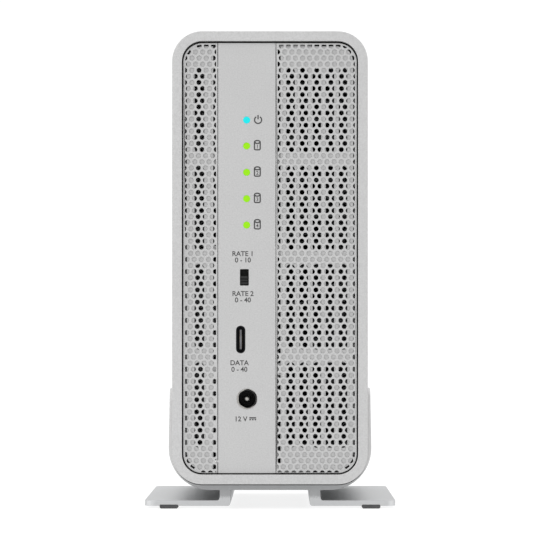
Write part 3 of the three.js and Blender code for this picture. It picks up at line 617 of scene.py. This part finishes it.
softEdge = {  # material, edge radius in millimetres and bevel segments
    "housing_shell": (sleeveMetal, 0.35, 3),
    "stand_cradle": (standMetalPaintedShade, 0.3, 3),
    "io_plate": (panelMetal, 0.12, 2),
    "front_bracket": (bracketMetal, 0.1, 1),
    "chassis_tray": (bracketMetal, 0.15, 1),
    "main_board": (boardLacquer, 0.08, 1),
    "fan_frame": (blackPlastic, 0.25, 2),
    "fan_rotor": (blackPlastic, 0.2, 2),
    "switch_body": (blackPlastic, 0.15, 2),
    "port_shell": (blackSteel, 0.08, 2),
    "port_tongue": (greyPlastic, 0.1, 2),
    "jack_body": (blackPlastic, 0.2, 2),
    "jack_pin": (nickelSteel, 0.1, 2),
    "controller_chip": (chipPlastic, 0.1, 2),
    "light_pipe_power": (blueLens, 0.42, 5),
}
for start, finish in {"light_pipe_drive": (limeLens, 0.42, 5), "drive_socket": (blackPlastic, 0.12, 1),
                      "drive_card": (cardLacquer, 0.06, 1), "drive_sink": (finMetal, 0.15, 1)}.items():
    softEdge.update({f"{start}_{i}": finish for i in range(1, 5)})
softEdge.update({node: (padRubber, 0.15, 2) for node in bodyOf if node.startswith("foot_pad")})
for node, (material, width, segments) in softEdge.items():
    refineNode(node, material, width, segments, perforation["grow"] if node == "io_plate" else 0.0)
print("metalwork refined")

knob = {"ridges": 3, "endShare": 0.1, "grooveDepth": 0.28, "grooveShare": 0.45, "flank": 0.1, "edge": 0.12}
shield = {"outer": 3.5, "opening": 3.25, "flats": 6, "flatDip": 0.05, "offX": 0.22, "offZ": 0.1, "thickness": 0.22,
          "chamfer": 0.08, "chamferShare": 0.35, "behindFace": 0.1, "steps": 72}
dustFilter = {"radius": 23.3, "rim": 1.4, "thickness": 0.9, "rimStep": 0.25, "behindFace": 0.3, "steps": 64}
contacts = {"pitch": 0.5, "width": 0.22, "socketPins": 34, "socketTail": 0.9, "portPins": 12, "portWidth": 0.26,
            "portLength": 4.4, "portInset": 0.3, "thickness": 0.06}


def makeKnob():  # a slide knob with raised ridges for a fingertip
    low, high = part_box("switch_knob")
    pitch = (high.z - low.z) / (knob["ridges"] + 2 * knob["endShare"])
    groove, flank = pitch * knob["grooveShare"], knob["flank"] * mm
    floor = low.y + knob["grooveDepth"] * mm
    outline = [(high.y, low.z), (low.y, low.z)]
    for i in range(1, knob["ridges"]):
        middle = low.z + knob["endShare"] * pitch + i * pitch
        outline += [(low.y, middle - groove / 2), (floor, middle - groove / 2 + flank),
                    (floor, middle + groove / 2 - flank), (low.y, middle + groove / 2)]
    outline += [(low.y, high.z), (high.y, high.z)]
    mesh = outwardMesh("switch_knob_ridged", [prism(outline, low.x, high.x)])
    softenEdges(addPiece("switch_knob_ridged", mesh, "switch_knob", blackPlastic), knob["edge"], 2, 30)


def makeShield():  # the jack's plated shell: a washer whose six-sided opening sits a little off centre
    low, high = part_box("jack_pin")
    middle = (low + high) / 2
    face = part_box("io_plate")[0].y + shield["behindFace"] * mm
    steps = shield["steps"]
    rings = ((False, 0.0, 1.0), (False, 0.0, 0.0), (True, 1.0, 0.0), (True, 0.0, shield["chamferShare"]),
             (True, 0.0, 1.0))  # opening or outside, its share of the chamfer, and its depth
    points = []
    for inner, grow, level in rings:
        for i in range(steps):
            angle = 2 * math.pi * i / steps
            dip = shield["flatDip"] * (1 + math.cos(shield["flats"] * angle)) / 2
            radius = shield["opening"] * (1 - dip) + grow * shield["chamfer"] if inner else shield["outer"]
            x = radius * math.cos(angle) + (shield["offX"] if inner else 0.0)
            z = radius * math.sin(angle) + (shield["offZ"] if inner else 0.0)
            points.append(Vector((middle.x + x * mm, face + level * shield["thickness"] * mm, middle.z + z * mm)))
    faces = [[i % len(points) for i in quad] for quad in bandFaces(steps, len(rings))]
    mesh = outwardMesh("jack_shield", [(points, faces)])
    smoothByAngle(mesh, 35)
    addPiece("jack_shield", mesh, "jack_pin", nickelSteel, False)


def makeDustFilter():  # a foam disc held in a moulded rim at the fan's mouth
    low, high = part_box("fan_frame")
    radius, thick = dustFilter["radius"] * mm, dustFilter["thickness"] * mm
    step, rim = dustFilter["rimStep"] * mm, dustFilter["rim"] * mm
    place = Matrix.Translation(((low.x + high.x) / 2, low.y + dustFilter["behindFace"] * mm + thick,
                                (low.z + high.z) / 2)) @ facingFront
    profile = [(0, step), (radius - rim, step), (radius - rim + step, 0), (radius, 0), (radius, thick),
               (radius - rim, thick), (radius - rim - step, thick - step), (0, thick - step)]
    mesh = outwardMesh("fan_dust_filter", [turnedPart(profile, dustFilter["steps"], place)])
    smoothByAngle(mesh, 35)
    addPiece("fan_dust_filter", mesh, "fan_frame", filterFoam, False)


def contactTree():  # a straight row of small blocks
    tree, given = startTree("row of contacts", {"Count": "Int", "First": "Vector", "Step": "Vector",
                                                "Size": "Vector"}, "Row")
    line = addNode(tree, "GeometryNodeMeshLine", {"Count": given["Count"], "Start Location": given["First"],
                                                  "Offset": given["Step"]})
    block = addNode(tree, "GeometryNodeMeshCube", {"Size": given["Size"]})
    return endTree(tree, addNode(tree, "GeometryNodeInstanceOnPoints", {"Points": line, "Instance": block}), given)


def addContacts(tree, name, node, count, x, y, size, material):  # one row up the middle of a CAD node
    low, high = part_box(node)
    pitch = contacts["pitch"] * mm
    row = runTree(tree, bpy.data.meshes.new("row start"), {
        "Count": count, "First": (x, y, (low.z + high.z - (count - 1) * pitch) / 2), "Step": (0.0, 0.0, pitch),
        "Size": size, "Material": material})
    addPiece(name, row, node, material, False)


def makeContacts():
    tree = contactTree()
    thick = contacts["thickness"] * mm
    tail, length = contacts["socketTail"] * mm, contacts["portLength"] * mm
    for node in sorted(bodyOf):
        if node.startswith("drive_socket"):
            low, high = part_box(node)
            addContacts(tree, node + "_pins", node, contacts["socketPins"], low.x + 2 * thick, high.y + tail / 2,
                        (2 * thick, tail, contacts["width"] * mm), tinPlate)
    low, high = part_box("port_tongue")
    for side, x in (("left", low.x), ("right", high.x)):
        addContacts(tree, f"port_contacts_{side}", "port_tongue", contacts["portPins"], x,
                    low.y + contacts["portInset"] * mm + length / 2,
                    (thick, length, contacts["portWidth"] * mm), goldPlate)


makeKnob()
makeShield()
makeDustFilter()
makeContacts()
print("front details made")


boardParts = {  # places are (Y, Z) on the board's face, sizes in millimetres
    "cans": [(-51.6, 25.5), (-51.6, 47.5), (-51.6, 141.5)],
    "canRadius": 3.15,
    "canHeight": 7.7,
    "canFoot": (6.615, 1.1, 0.2),       # side, height and edge
    "canGroove": (0.5, 0.8, 1.1, 0.94),  # three heights above the foot, and the share of the radius left
    "canCrown": (0.3, 0.92),            # its drop, and the share of the radius left
    "coils": [(-50.6, 88.0), (-50.6, 109.4)],
    "coil": (6.6, 3.0, 0.5),
    "packages": [(-50.4, 98.6, 4.0), (-50.4, 120.0, 5.0), (-50.4, 130.8, 4.0), (-47.6, 57.6, 3.0)],
    "packageHeight": 0.85,
    "packageEdge": 0.08,
    "chips": 90,
    "chipSize": (0.55, 0.8, 1.6),
    "chipReach": 0.7,
    "bodyStep": (0.02, 0.04),           # the body is this much lower and narrower than its end caps
    "capLength": 0.35,
    "clearance": 1.1,
    "field": (-56.5, -46.0, 24.0, 147.0),
    "giveUp": 0.0005,
    "seed": 11,
}
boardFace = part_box("controller_chip")[0].x


def boardBlock(y, z, side, height, edge):  # a square package whose top edge is drawn in
    points = []
    for half, level in ((side / 2, 0.0), (side / 2, height - edge), (side / 2 - edge, height)):
        points += [Vector((boardFace + level * mm, (y + a * half) * mm, (z + b * half) * mm))
                   for a, b in ((-1, -1), (1, -1), (1, 1), (-1, 1))]
    return points, [[3, 2, 1, 0], [8, 9, 10, 11]] + bandFaces(4, 2)


def boardCan(y, z):  # a drawn can with a crimped groove above its foot
    radius, height, foot = boardParts["canRadius"] * mm, boardParts["canHeight"] * mm, boardParts["canFoot"][1] * mm
    start, waist, end, waistShare = boardParts["canGroove"]
    crown, crownShare = boardParts["canCrown"]
    profile = [(0, foot), (radius, foot), (radius, foot + start * mm), (radius * waistShare, foot + waist * mm),
               (radius, foot + end * mm), (radius, height - crown * mm), (radius * crownShare, height), (0, height)]
    return turnedPart(profile, 32, Matrix.Translation((boardFace, y * mm, z * mm)) @ facingRight)


def chipBar(y, z, start, end, wide, deep):  # one part of a chip component lying along Z
    outline = [((y - wide / 2) * mm, (z + start) * mm), ((y + wide / 2) * mm, (z + start) * mm),
               ((y + wide / 2) * mm, (z + end) * mm), ((y - wide / 2) * mm, (z + end) * mm)]
    return prism(outline, boardFace, boardFace + deep * mm)


def freeSpots(parts):  # random places for the small chips, clear of everything else on the board
    taken = [(y, z, parts["canRadius"]) for y, z in parts["cans"]]
    taken += [(y, z, parts["coil"][0] / 2) for y, z in parts["coils"]]
    taken += [(y, z, side / 2) for y, z, side in parts["packages"]]
    for node in bodyOf:
        low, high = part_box(node)
        if bodyOf[node] == "chassis" and node.startswith(("port", "jack", "switch", "light", "controller")):
            half = max(high.y - low.y, high.z - low.z) / 2 / mm
            taken.append(((low.y + high.y) / 2 / mm, (low.z + high.z) / 2 / mm, half))
    draw = random.Random(parts["seed"])
    lowY, highY, lowZ, highZ = parts["field"]
    spots = []
    while len(spots) < parts["chips"]:
        y, z = draw.uniform(lowY, highY), draw.uniform(lowZ, highZ)
        if all(max(abs(y - a), abs(z - b)) > reach + parts["clearance"] for a, b, reach in taken):
            spots.append((y, z))
            taken.append((y, z, parts["chipReach"]))
        elif draw.random() < parts["giveUp"]:
            break
    return spots


def makeBoardParts(parts):
    deep, wide, long = parts["chipSize"]
    lower, narrower = parts["bodyStep"]
    along = long / 2 - parts["capLength"]
    spots = freeSpots(parts)
    ends = [chipBar(y, z, start, end, wide, deep) for y, z in spots
            for start, end in ((-long / 2, -along), (along, long / 2))]
    for name, blocks, material in (
            ("board_cans", [boardCan(*spot) for spot in parts["cans"]], canAluminium),
            ("board_can_feet", [boardBlock(*spot, *parts["canFoot"]) for spot in parts["cans"]], blackPlastic),
            ("board_coils", [boardBlock(*spot, *parts["coil"]) for spot in parts["coils"]], ferrite),
            ("board_packages", [boardBlock(*spot, parts["packageHeight"], parts["packageEdge"])
                                for spot in parts["packages"]], chipPlastic),
            ("board_chip_bodies", [chipBar(y, z, -along, along, wide - narrower, deep - lower) for y, z in spots],
             ceramic),
            ("board_chip_ends", ends, tinPlate)):
        piece = addPiece(name, outwardMesh(name, blocks), "controller_chip", material, False)
        if name == "board_cans":
            smoothByAngle(piece.data, 35)
    print("board carries", len(spots), "small chips")


makeBoardParts(boardParts)


recess = {"span": 0.64, "width": 0.19, "depth": 0.85, "taper": 0.6, "headShare": 0.28, "edge": 0.05}
thumb = {"ribs": 40, "ribWidth": 0.42, "ribHeight": 0.3, "endGap": 0.5, "coreShare": 0.8, "shank": 1.3,
         "tipInset": 0.2, "easing": 0.3, "rimChamfer": 0.45, "dishShare": 0.62, "floorShare": 0.58,
         "dishDepth": 0.7, "steps": 48}


def crossTool(place, head, height):  # two tapered bars that leave a cross recess in a screw's head
    parts = []
    reach, half = recess["span"] * head / 2, recess["width"] * head / 2
    depth, narrow = recess["depth"] * height, recess["taper"]
    for long, short in ((reach, half), (half, reach)):
        points = []
        for scale, level in ((narrow, -depth), (1.0, 0.0), (1.0, height)):
            points += [place @ Vector((x * scale if long > short else x, y * scale if short > long else y, level))
                       for x, y in ((-long, -short), (long, -short), (long, short), (-long, short))]
        parts.append((points, [[3, 2, 1, 0], [8, 9, 10, 11]] + bandFaces(4, 2)))
    return parts


def screwPlace(node):  # the middle of a head's outer face, with local Z pointing out of it, and its width
    low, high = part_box(node)
    middle = (low + high) / 2
    if node.startswith(("board_screw", "drive_screw")):
        return Matrix.Translation((high.x, middle.y, middle.z)) @ facingRight, high.y - low.y
    if node.startswith("stand_screw"):
        return Matrix.Translation((middle.x, middle.y, low.z)) @ facingDown, high.x - low.x
    return Matrix.Translation((middle.x, high.y, middle.z)) @ facingRear, high.x - low.x


def makeScrew(node, material):
    piece = addPiece(node + "_fine", meshFromShape(node + "_fine", weldedNode(node)), node, material)
    place, head = screwPlace(node)
    bars = []
    for i, part in enumerate(crossTool(place, head, recess["headShare"] * head)):
        bars.append(addObject(f"{node} bar {i}", meshFromParts("bar", [part])))
        cutter = piece.modifiers.new(f"recess {i}", "BOOLEAN")
        cutter.operation = "DIFFERENCE"
        cutter.solver = "EXACT"
        cutter.object = bars[-1]
    bakeModifiers(piece)
    for bar in bars:
        bpy.data.objects.remove(bar)
    softenEdges(piece, recess["edge"], 1, 40)


def knurlTree():  # small ribs standing round an axis
    tree, given = startTree("knurled rim", {"Ribs": "Int", "Radius": "Float", "Length": "Float",
                                            "Rib width": "Float", "Rib height": "Float", "Centre": "Vector"}, "Rim")
    ring = addNode(tree, "GeometryNodeMeshCircle", {"Vertices": given["Ribs"], "Radius": given["Radius"]})
    size = addNode(tree, "ShaderNodeCombineXYZ", {"X": given["Rib height"], "Y": given["Rib width"],
                                                  "Z": given["Length"]})
    rib = addNode(tree, "GeometryNodeMeshCube", {"Size": size})
    spot = addNode(tree, "GeometryNodeInputPosition")
    aim = addNode(tree, "FunctionNodeAlignRotationToVector", {"Vector": spot}, axis="X")
    ribs = addNode(tree, "GeometryNodeInstanceOnPoints", {"Points": ring, "Instance": rib, "Rotation": aim})
    placed = addNode(tree, "GeometryNodeTransform", {"Geometry": ribs, "Translation": given["Centre"],
                                                     "Rotation": (math.pi / 2, 0.0, 0.0)})
    return endTree(tree, placed, given)


def makeThumbScrew(node, tree):
    low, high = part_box(node)
    radius, reach = (high.x - low.x) / 2, high.y - low.y
    head = high.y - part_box("rear_panel")[1].y
    length = head - 2 * thumb["endGap"] * mm
    centre = Vector(((low.x + high.x) / 2, high.y - head / 2, (low.z + high.z) / 2))
    rib = thumb["ribHeight"] * mm
    rim = runTree(tree, bpy.data.meshes.new("rim start"), {
        "Ribs": thumb["ribs"], "Radius": radius - rib / 2, "Length": length, "Rib width": thumb["ribWidth"] * mm,
        "Rib height": rib, "Centre": centre, "Material": nickelSteel})
    core, shank = radius - rib * thumb["coreShare"], thumb["shank"] * mm
    ease, chamfer, dish = thumb["easing"] * mm, thumb["rimChamfer"] * mm, thumb["dishDepth"] * mm
    profile = [(0, -reach), (shank - thumb["tipInset"] * mm, -reach), (shank, -reach + ease), (shank, -head),
               (core - ease, -head), (core, -head + ease), (core, -chamfer), (core - chamfer, 0),
               (core * thumb["dishShare"], 0), (core * thumb["floorShare"], -dish), (0, -dish)]
    place = Matrix.Translation((centre.x, high.y, centre.z)) @ facingRear
    joined = bmesh.new()
    joined.from_mesh(meshFromParts(node, [turnedPart(profile, thumb["steps"], place)]))
    joined.from_mesh(rim)
    bmesh.ops.recalc_face_normals(joined, faces=joined.faces)
    mesh = meshFromShape(node + "_knurled", joined)
    smoothByAngle(mesh, 30)
    addPiece(node + "_knurled", mesh, node, nickelSteel)


for node in bodyOf:
    if "screw" in node and not node.startswith("thumb"):
        makeScrew(node, blackSteel if slotOf[node] == "black_steel" else nickelSteel)
rimTree = knurlTree()
for node in ("thumb_screw_1", "thumb_screw_2"):
    makeThumbScrew(node, rimTree)
print("screws made")


marks = {  # sizes in millimetres; the words and digits are plain ones
    "capHeight": 1.7,
    "proud": 0.02,
    "stroke": 0.46,
    "weight": 0.02,
    "power": (-4.05, 0.15),      # across the strip, and above its light
    "drive": (-4.3, 0.3),
    "digit": (-4.3, -0.8),
    "digitScale": 0.75,
    "supply": (-7.0, 29.75),
    "labels": [(-9.2, 85.85, "RATE 1"), (-9.2, 83.7, "0 - 10"), (-9.2, 72.3, "RATE 2"), (-9.2, 70.15, "0 - 40"),
               (-10.4, 48.8, "DATA"), (-10.4, 46.6, "0 - 40"), (-9.9, 29.75, "12 V")],
}
powerSign = {"middle": -0.1, "radius": 1.2, "gapEnd": 122, "gapStart": 418, "bar": (0.1, 1.55)}
driveSign = {"half": 0.98, "top": 1.0, "crown": 0.55, "bottom": -1.2, "corner": 0.4, "lid": (0.8, 0.45)}
supplySign = {"line": 1.15, "dash": 0.55, "width": 2.3, "dashes": [(0, 0.55), (0.87, 1.43), (1.75, 2.3)]}
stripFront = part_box("io_plate")[0].y


def toStripFace(mesh, x, z):  # a flat drawing in local X and Y moved onto the strip's face
    mesh.transform(Matrix.Translation((x * mm, stripFront, z * mm)) @ facingFront)
    return mesh


def makeLabel(words, share=1.0):
    curve = bpy.data.curves.new("label", "FONT")
    curve.body = words
    curve.align_x = "CENTER"
    curve.extrude = marks["proud"] * mm
    curve.offset = marks["weight"] * mm
    curve.size = 1.0 * mm
    text = addObject("label", curve)
    mesh = evaluatedMesh(text)
    bpy.data.objects.remove(text)
    tall = max(v.co.y for v in mesh.vertices) - min(0.0, min(v.co.y for v in mesh.vertices))
    scale = share * marks["capHeight"] * mm / tall
    mesh.transform(Matrix.Diagonal((scale, scale, 1.0, 1.0)))
    return mesh


def strokeMesh(name, paths):  # flat bands along paths of (x, y), in millimetres; a closed path ends where it starts
    parts = []
    half = marks["stroke"] / 2
    proud = marks["proud"]
    for path in paths:
        closed = (Vector(path[0]) - Vector(path[-1])).length < 1e-6
        spine = [Vector(p) for p in (path[:-1] if closed else path)]
        count = len(spine)
        points = []
        for i, here in enumerate(spine):
            before = spine[i - 1] if closed or i > 0 else here
            after = spine[(i + 1) % count] if closed or i < count - 1 else here
            along = (after - before).normalized()
            side = Vector((-along.y, along.x)) * half
            for sign, level in ((1, proud), (-1, proud), (-1, -proud), (1, -proud)):
                points.append(Vector((here.x + sign * side.x, here.y + sign * side.y, level)) * mm)
        faces = []
        for i in range(count if closed else count - 1):
            j = (i + 1) % count
            faces += [[4 * i + k, 4 * j + k, 4 * j + (k + 1) % 4, 4 * i + (k + 1) % 4] for k in range(4)]
        if not closed:
            faces += [[0, 1, 2, 3], [4 * count - 1, 4 * count - 2, 4 * count - 3, 4 * count - 4]]
        parts.append((points, faces))
    return outwardMesh(name, parts)


def arcPoints(x, y, radiusX, radiusY, fromDegrees, toDegrees, steps):
    angles = [math.radians(fromDegrees + (toDegrees - fromDegrees) * i / steps) for i in range(steps + 1)]
    return [(x + radiusX * math.cos(a), y + radiusY * math.sin(a)) for a in angles]


def powerSymbol():  # an open ring with a bar in its gap
    ring = arcPoints(0, powerSign["middle"], powerSign["radius"], powerSign["radius"], powerSign["gapEnd"],
                     powerSign["gapStart"], 24)
    return strokeMesh("power symbol", [ring, [(0, level) for level in powerSign["bar"]]])


def driveSymbol():  # a drive drawn as a short drum
    half, top, corner = driveSign["half"], driveSign["top"], driveSign["corner"]
    drum = [(-half, top)] + arcPoints(0, top, half, driveSign["crown"], 180, 0, 8)[1:]
    drum += arcPoints(half - corner, driveSign["bottom"], corner, corner, 0, -90, 4)
    drum += arcPoints(corner - half, driveSign["bottom"], corner, corner, -90, -180, 4) + [(-half, top)]
    return strokeMesh("drive symbol", [drum, arcPoints(0, top, *driveSign["lid"], 190, 350, 6)])


def supplySymbol():  # a line over three dashes, for direct current
    dashes = [[(start, supplySign["dash"]), (end, supplySign["dash"])] for start, end in supplySign["dashes"]]
    return strokeMesh("supply symbol", [[(0, supplySign["line"]), (supplySign["width"], supplySign["line"])]] + dashes)


markParts = [toStripFace(makeLabel(words), x, z) for x, z, words in marks["labels"]]
lightSpots = [(node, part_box(node)) for node in bodyOf if node.startswith("light_pipe")]
lightSpots.sort(key=lambda spot: -spot[1][0].z)
for number, (node, (low, high)) in enumerate(lightSpots):
    drawings = [("power", powerSymbol())] if number == 0 else [
        ("drive", driveSymbol()), ("digit", makeLabel(str(number), marks["digitScale"]))]
    for kind, drawing in drawings:
        x, rise = marks[kind]
        markParts.append(toStripFace(drawing, x, (low.z + high.z) / 2 / mm + rise))
markParts.append(toStripFace(supplySymbol(), *marks["supply"]))
printed = bmesh.new()
for part in markParts:
    printed.from_mesh(part)
addPiece("strip_markings", meshFromShape("strip_markings", printed), "io_plate", markInk, False)
print("markings printed")


camera = {"across": 4.4, "height": 59.7, "distance": 1271.0, "lens": 250.0, "shiftX": -0.024, "shiftY": 0.1167,
          "sensor": 36.0, "farEnd": 100.0}
paper = {"roughness": 0.9, "gloss": 0.1, "glow": 0.8, "dark": "8c8c8c", "pale": "929292", "fibres": 40.0}
sweepShape = {"half": 4.0, "front": -3.0, "back": 1.6, "bend": 0.8, "bendSteps": 12, "top": 3.5}  # metres
room = {
    "brightness": 0.79,
    "softboxes": [  # name, place, what it points at, width and height in metres, and watts
        ("overhead softbox", (0.0, 0.1, 1.3), (0.0, 0.0, 0.08), 1.4, 1.4, 5.0),
        ("front left softbox", (-1.0, -1.3, 0.9), (0.0, 0.0, 0.08), 0.9, 0.9, 6.0),
        ("left low softbox", (-1.7, -0.3, 0.3), (-0.03, 0.0, 0.01), 1.2, 0.6, 4.5),
        ("right low softbox", (1.7, -0.3, 0.3), (0.03, 0.0, 0.01), 1.2, 0.6, 4.5),
    ],
}


def makeStage():
    # matt white paper, lit a little from within so that it stays even behind the object
    white, tree, shader, place = startMaterial("white paper sweep", {
        "Roughness": paper["roughness"], "Specular IOR Level": paper["gloss"],
        "Emission Color": (1.0, 1.0, 1.0, 1.0), "Emission Strength": paper["glow"]})
    fibres = addNode(tree, "ShaderNodeTexNoise", {"Vector": place, "Scale": paper["fibres"], "Detail": 2.0})
    tint = addNode(tree, "ShaderNodeValToRGB", {"Fac": fibres})
    setRamp(tint, [(0.3, hexColour(paper["dark"])), (0.7, hexColour(paper["pale"]))])
    setInputs(shader, {"Base Color": tint})
    back, bend, steps, half = (sweepShape[key] for key in ("back", "bend", "bendSteps", "half"))
    turns = [math.pi / 2 * i / steps for i in range(1, steps + 1)]
    line = [(sweepShape["front"], 0.0), (back, 0.0)]
    line += [(back + bend * math.sin(a), bend - bend * math.cos(a)) for a in turns]
    line.append((back + bend, sweepShape["top"]))
    points = [(x, y, z) for y, z in line for x in (-half, half)]
    faces = [[2 * i, 2 * i + 1, 2 * i + 3, 2 * i + 2] for i in range(len(line) - 1)]
    mesh = bpy.data.meshes.new("sweep")
    mesh.from_pydata(points, [], faces)
    mesh.shade_smooth()
    mesh.materials.append(white)
    addObject("sweep", mesh)


def addSoftbox(name, place, aim, width, height, power):
    data = bpy.data.lights.new(name, "AREA")
    data.shape = "RECTANGLE"
    data.size = width
    data.size_y = height
    data.energy = power
    lamp = addObject(name, data)
    lamp.location = place
    lamp.rotation_euler = (Vector(aim) - Vector(place)).to_track_quat("-Z", "Y").to_euler()


def makeCamera():
    data = bpy.data.cameras.new("camera")
    data.lens = camera["lens"]
    data.sensor_width = camera["sensor"]
    data.shift_x = camera["shiftX"]
    data.shift_y = camera["shiftY"]
    data.clip_end = camera["farEnd"]
    view = addObject("camera", data)
    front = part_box("housing_shell")[0].y
    view.location = (camera["across"] * mm, front - camera["distance"] * mm, camera["height"] * mm)
    view.rotation_euler = (math.pi / 2, 0.0, 0.0)
    bpy.context.scene.camera = view


def lightRoom():
    world = bpy.data.worlds.new("studio")
    world.use_nodes = True
    setInputs(world.node_tree.nodes["Background"], {"Color": (1.0, 1.0, 1.0, 1.0), "Strength": room["brightness"]})
    bpy.context.scene.world = world
    for softbox in room["softboxes"]:
        addSoftbox(*softbox)
    bpy.context.scene.view_settings.view_transform = "Standard"


makeStage()
makeCamera()
lightRoom()
print("stage set")
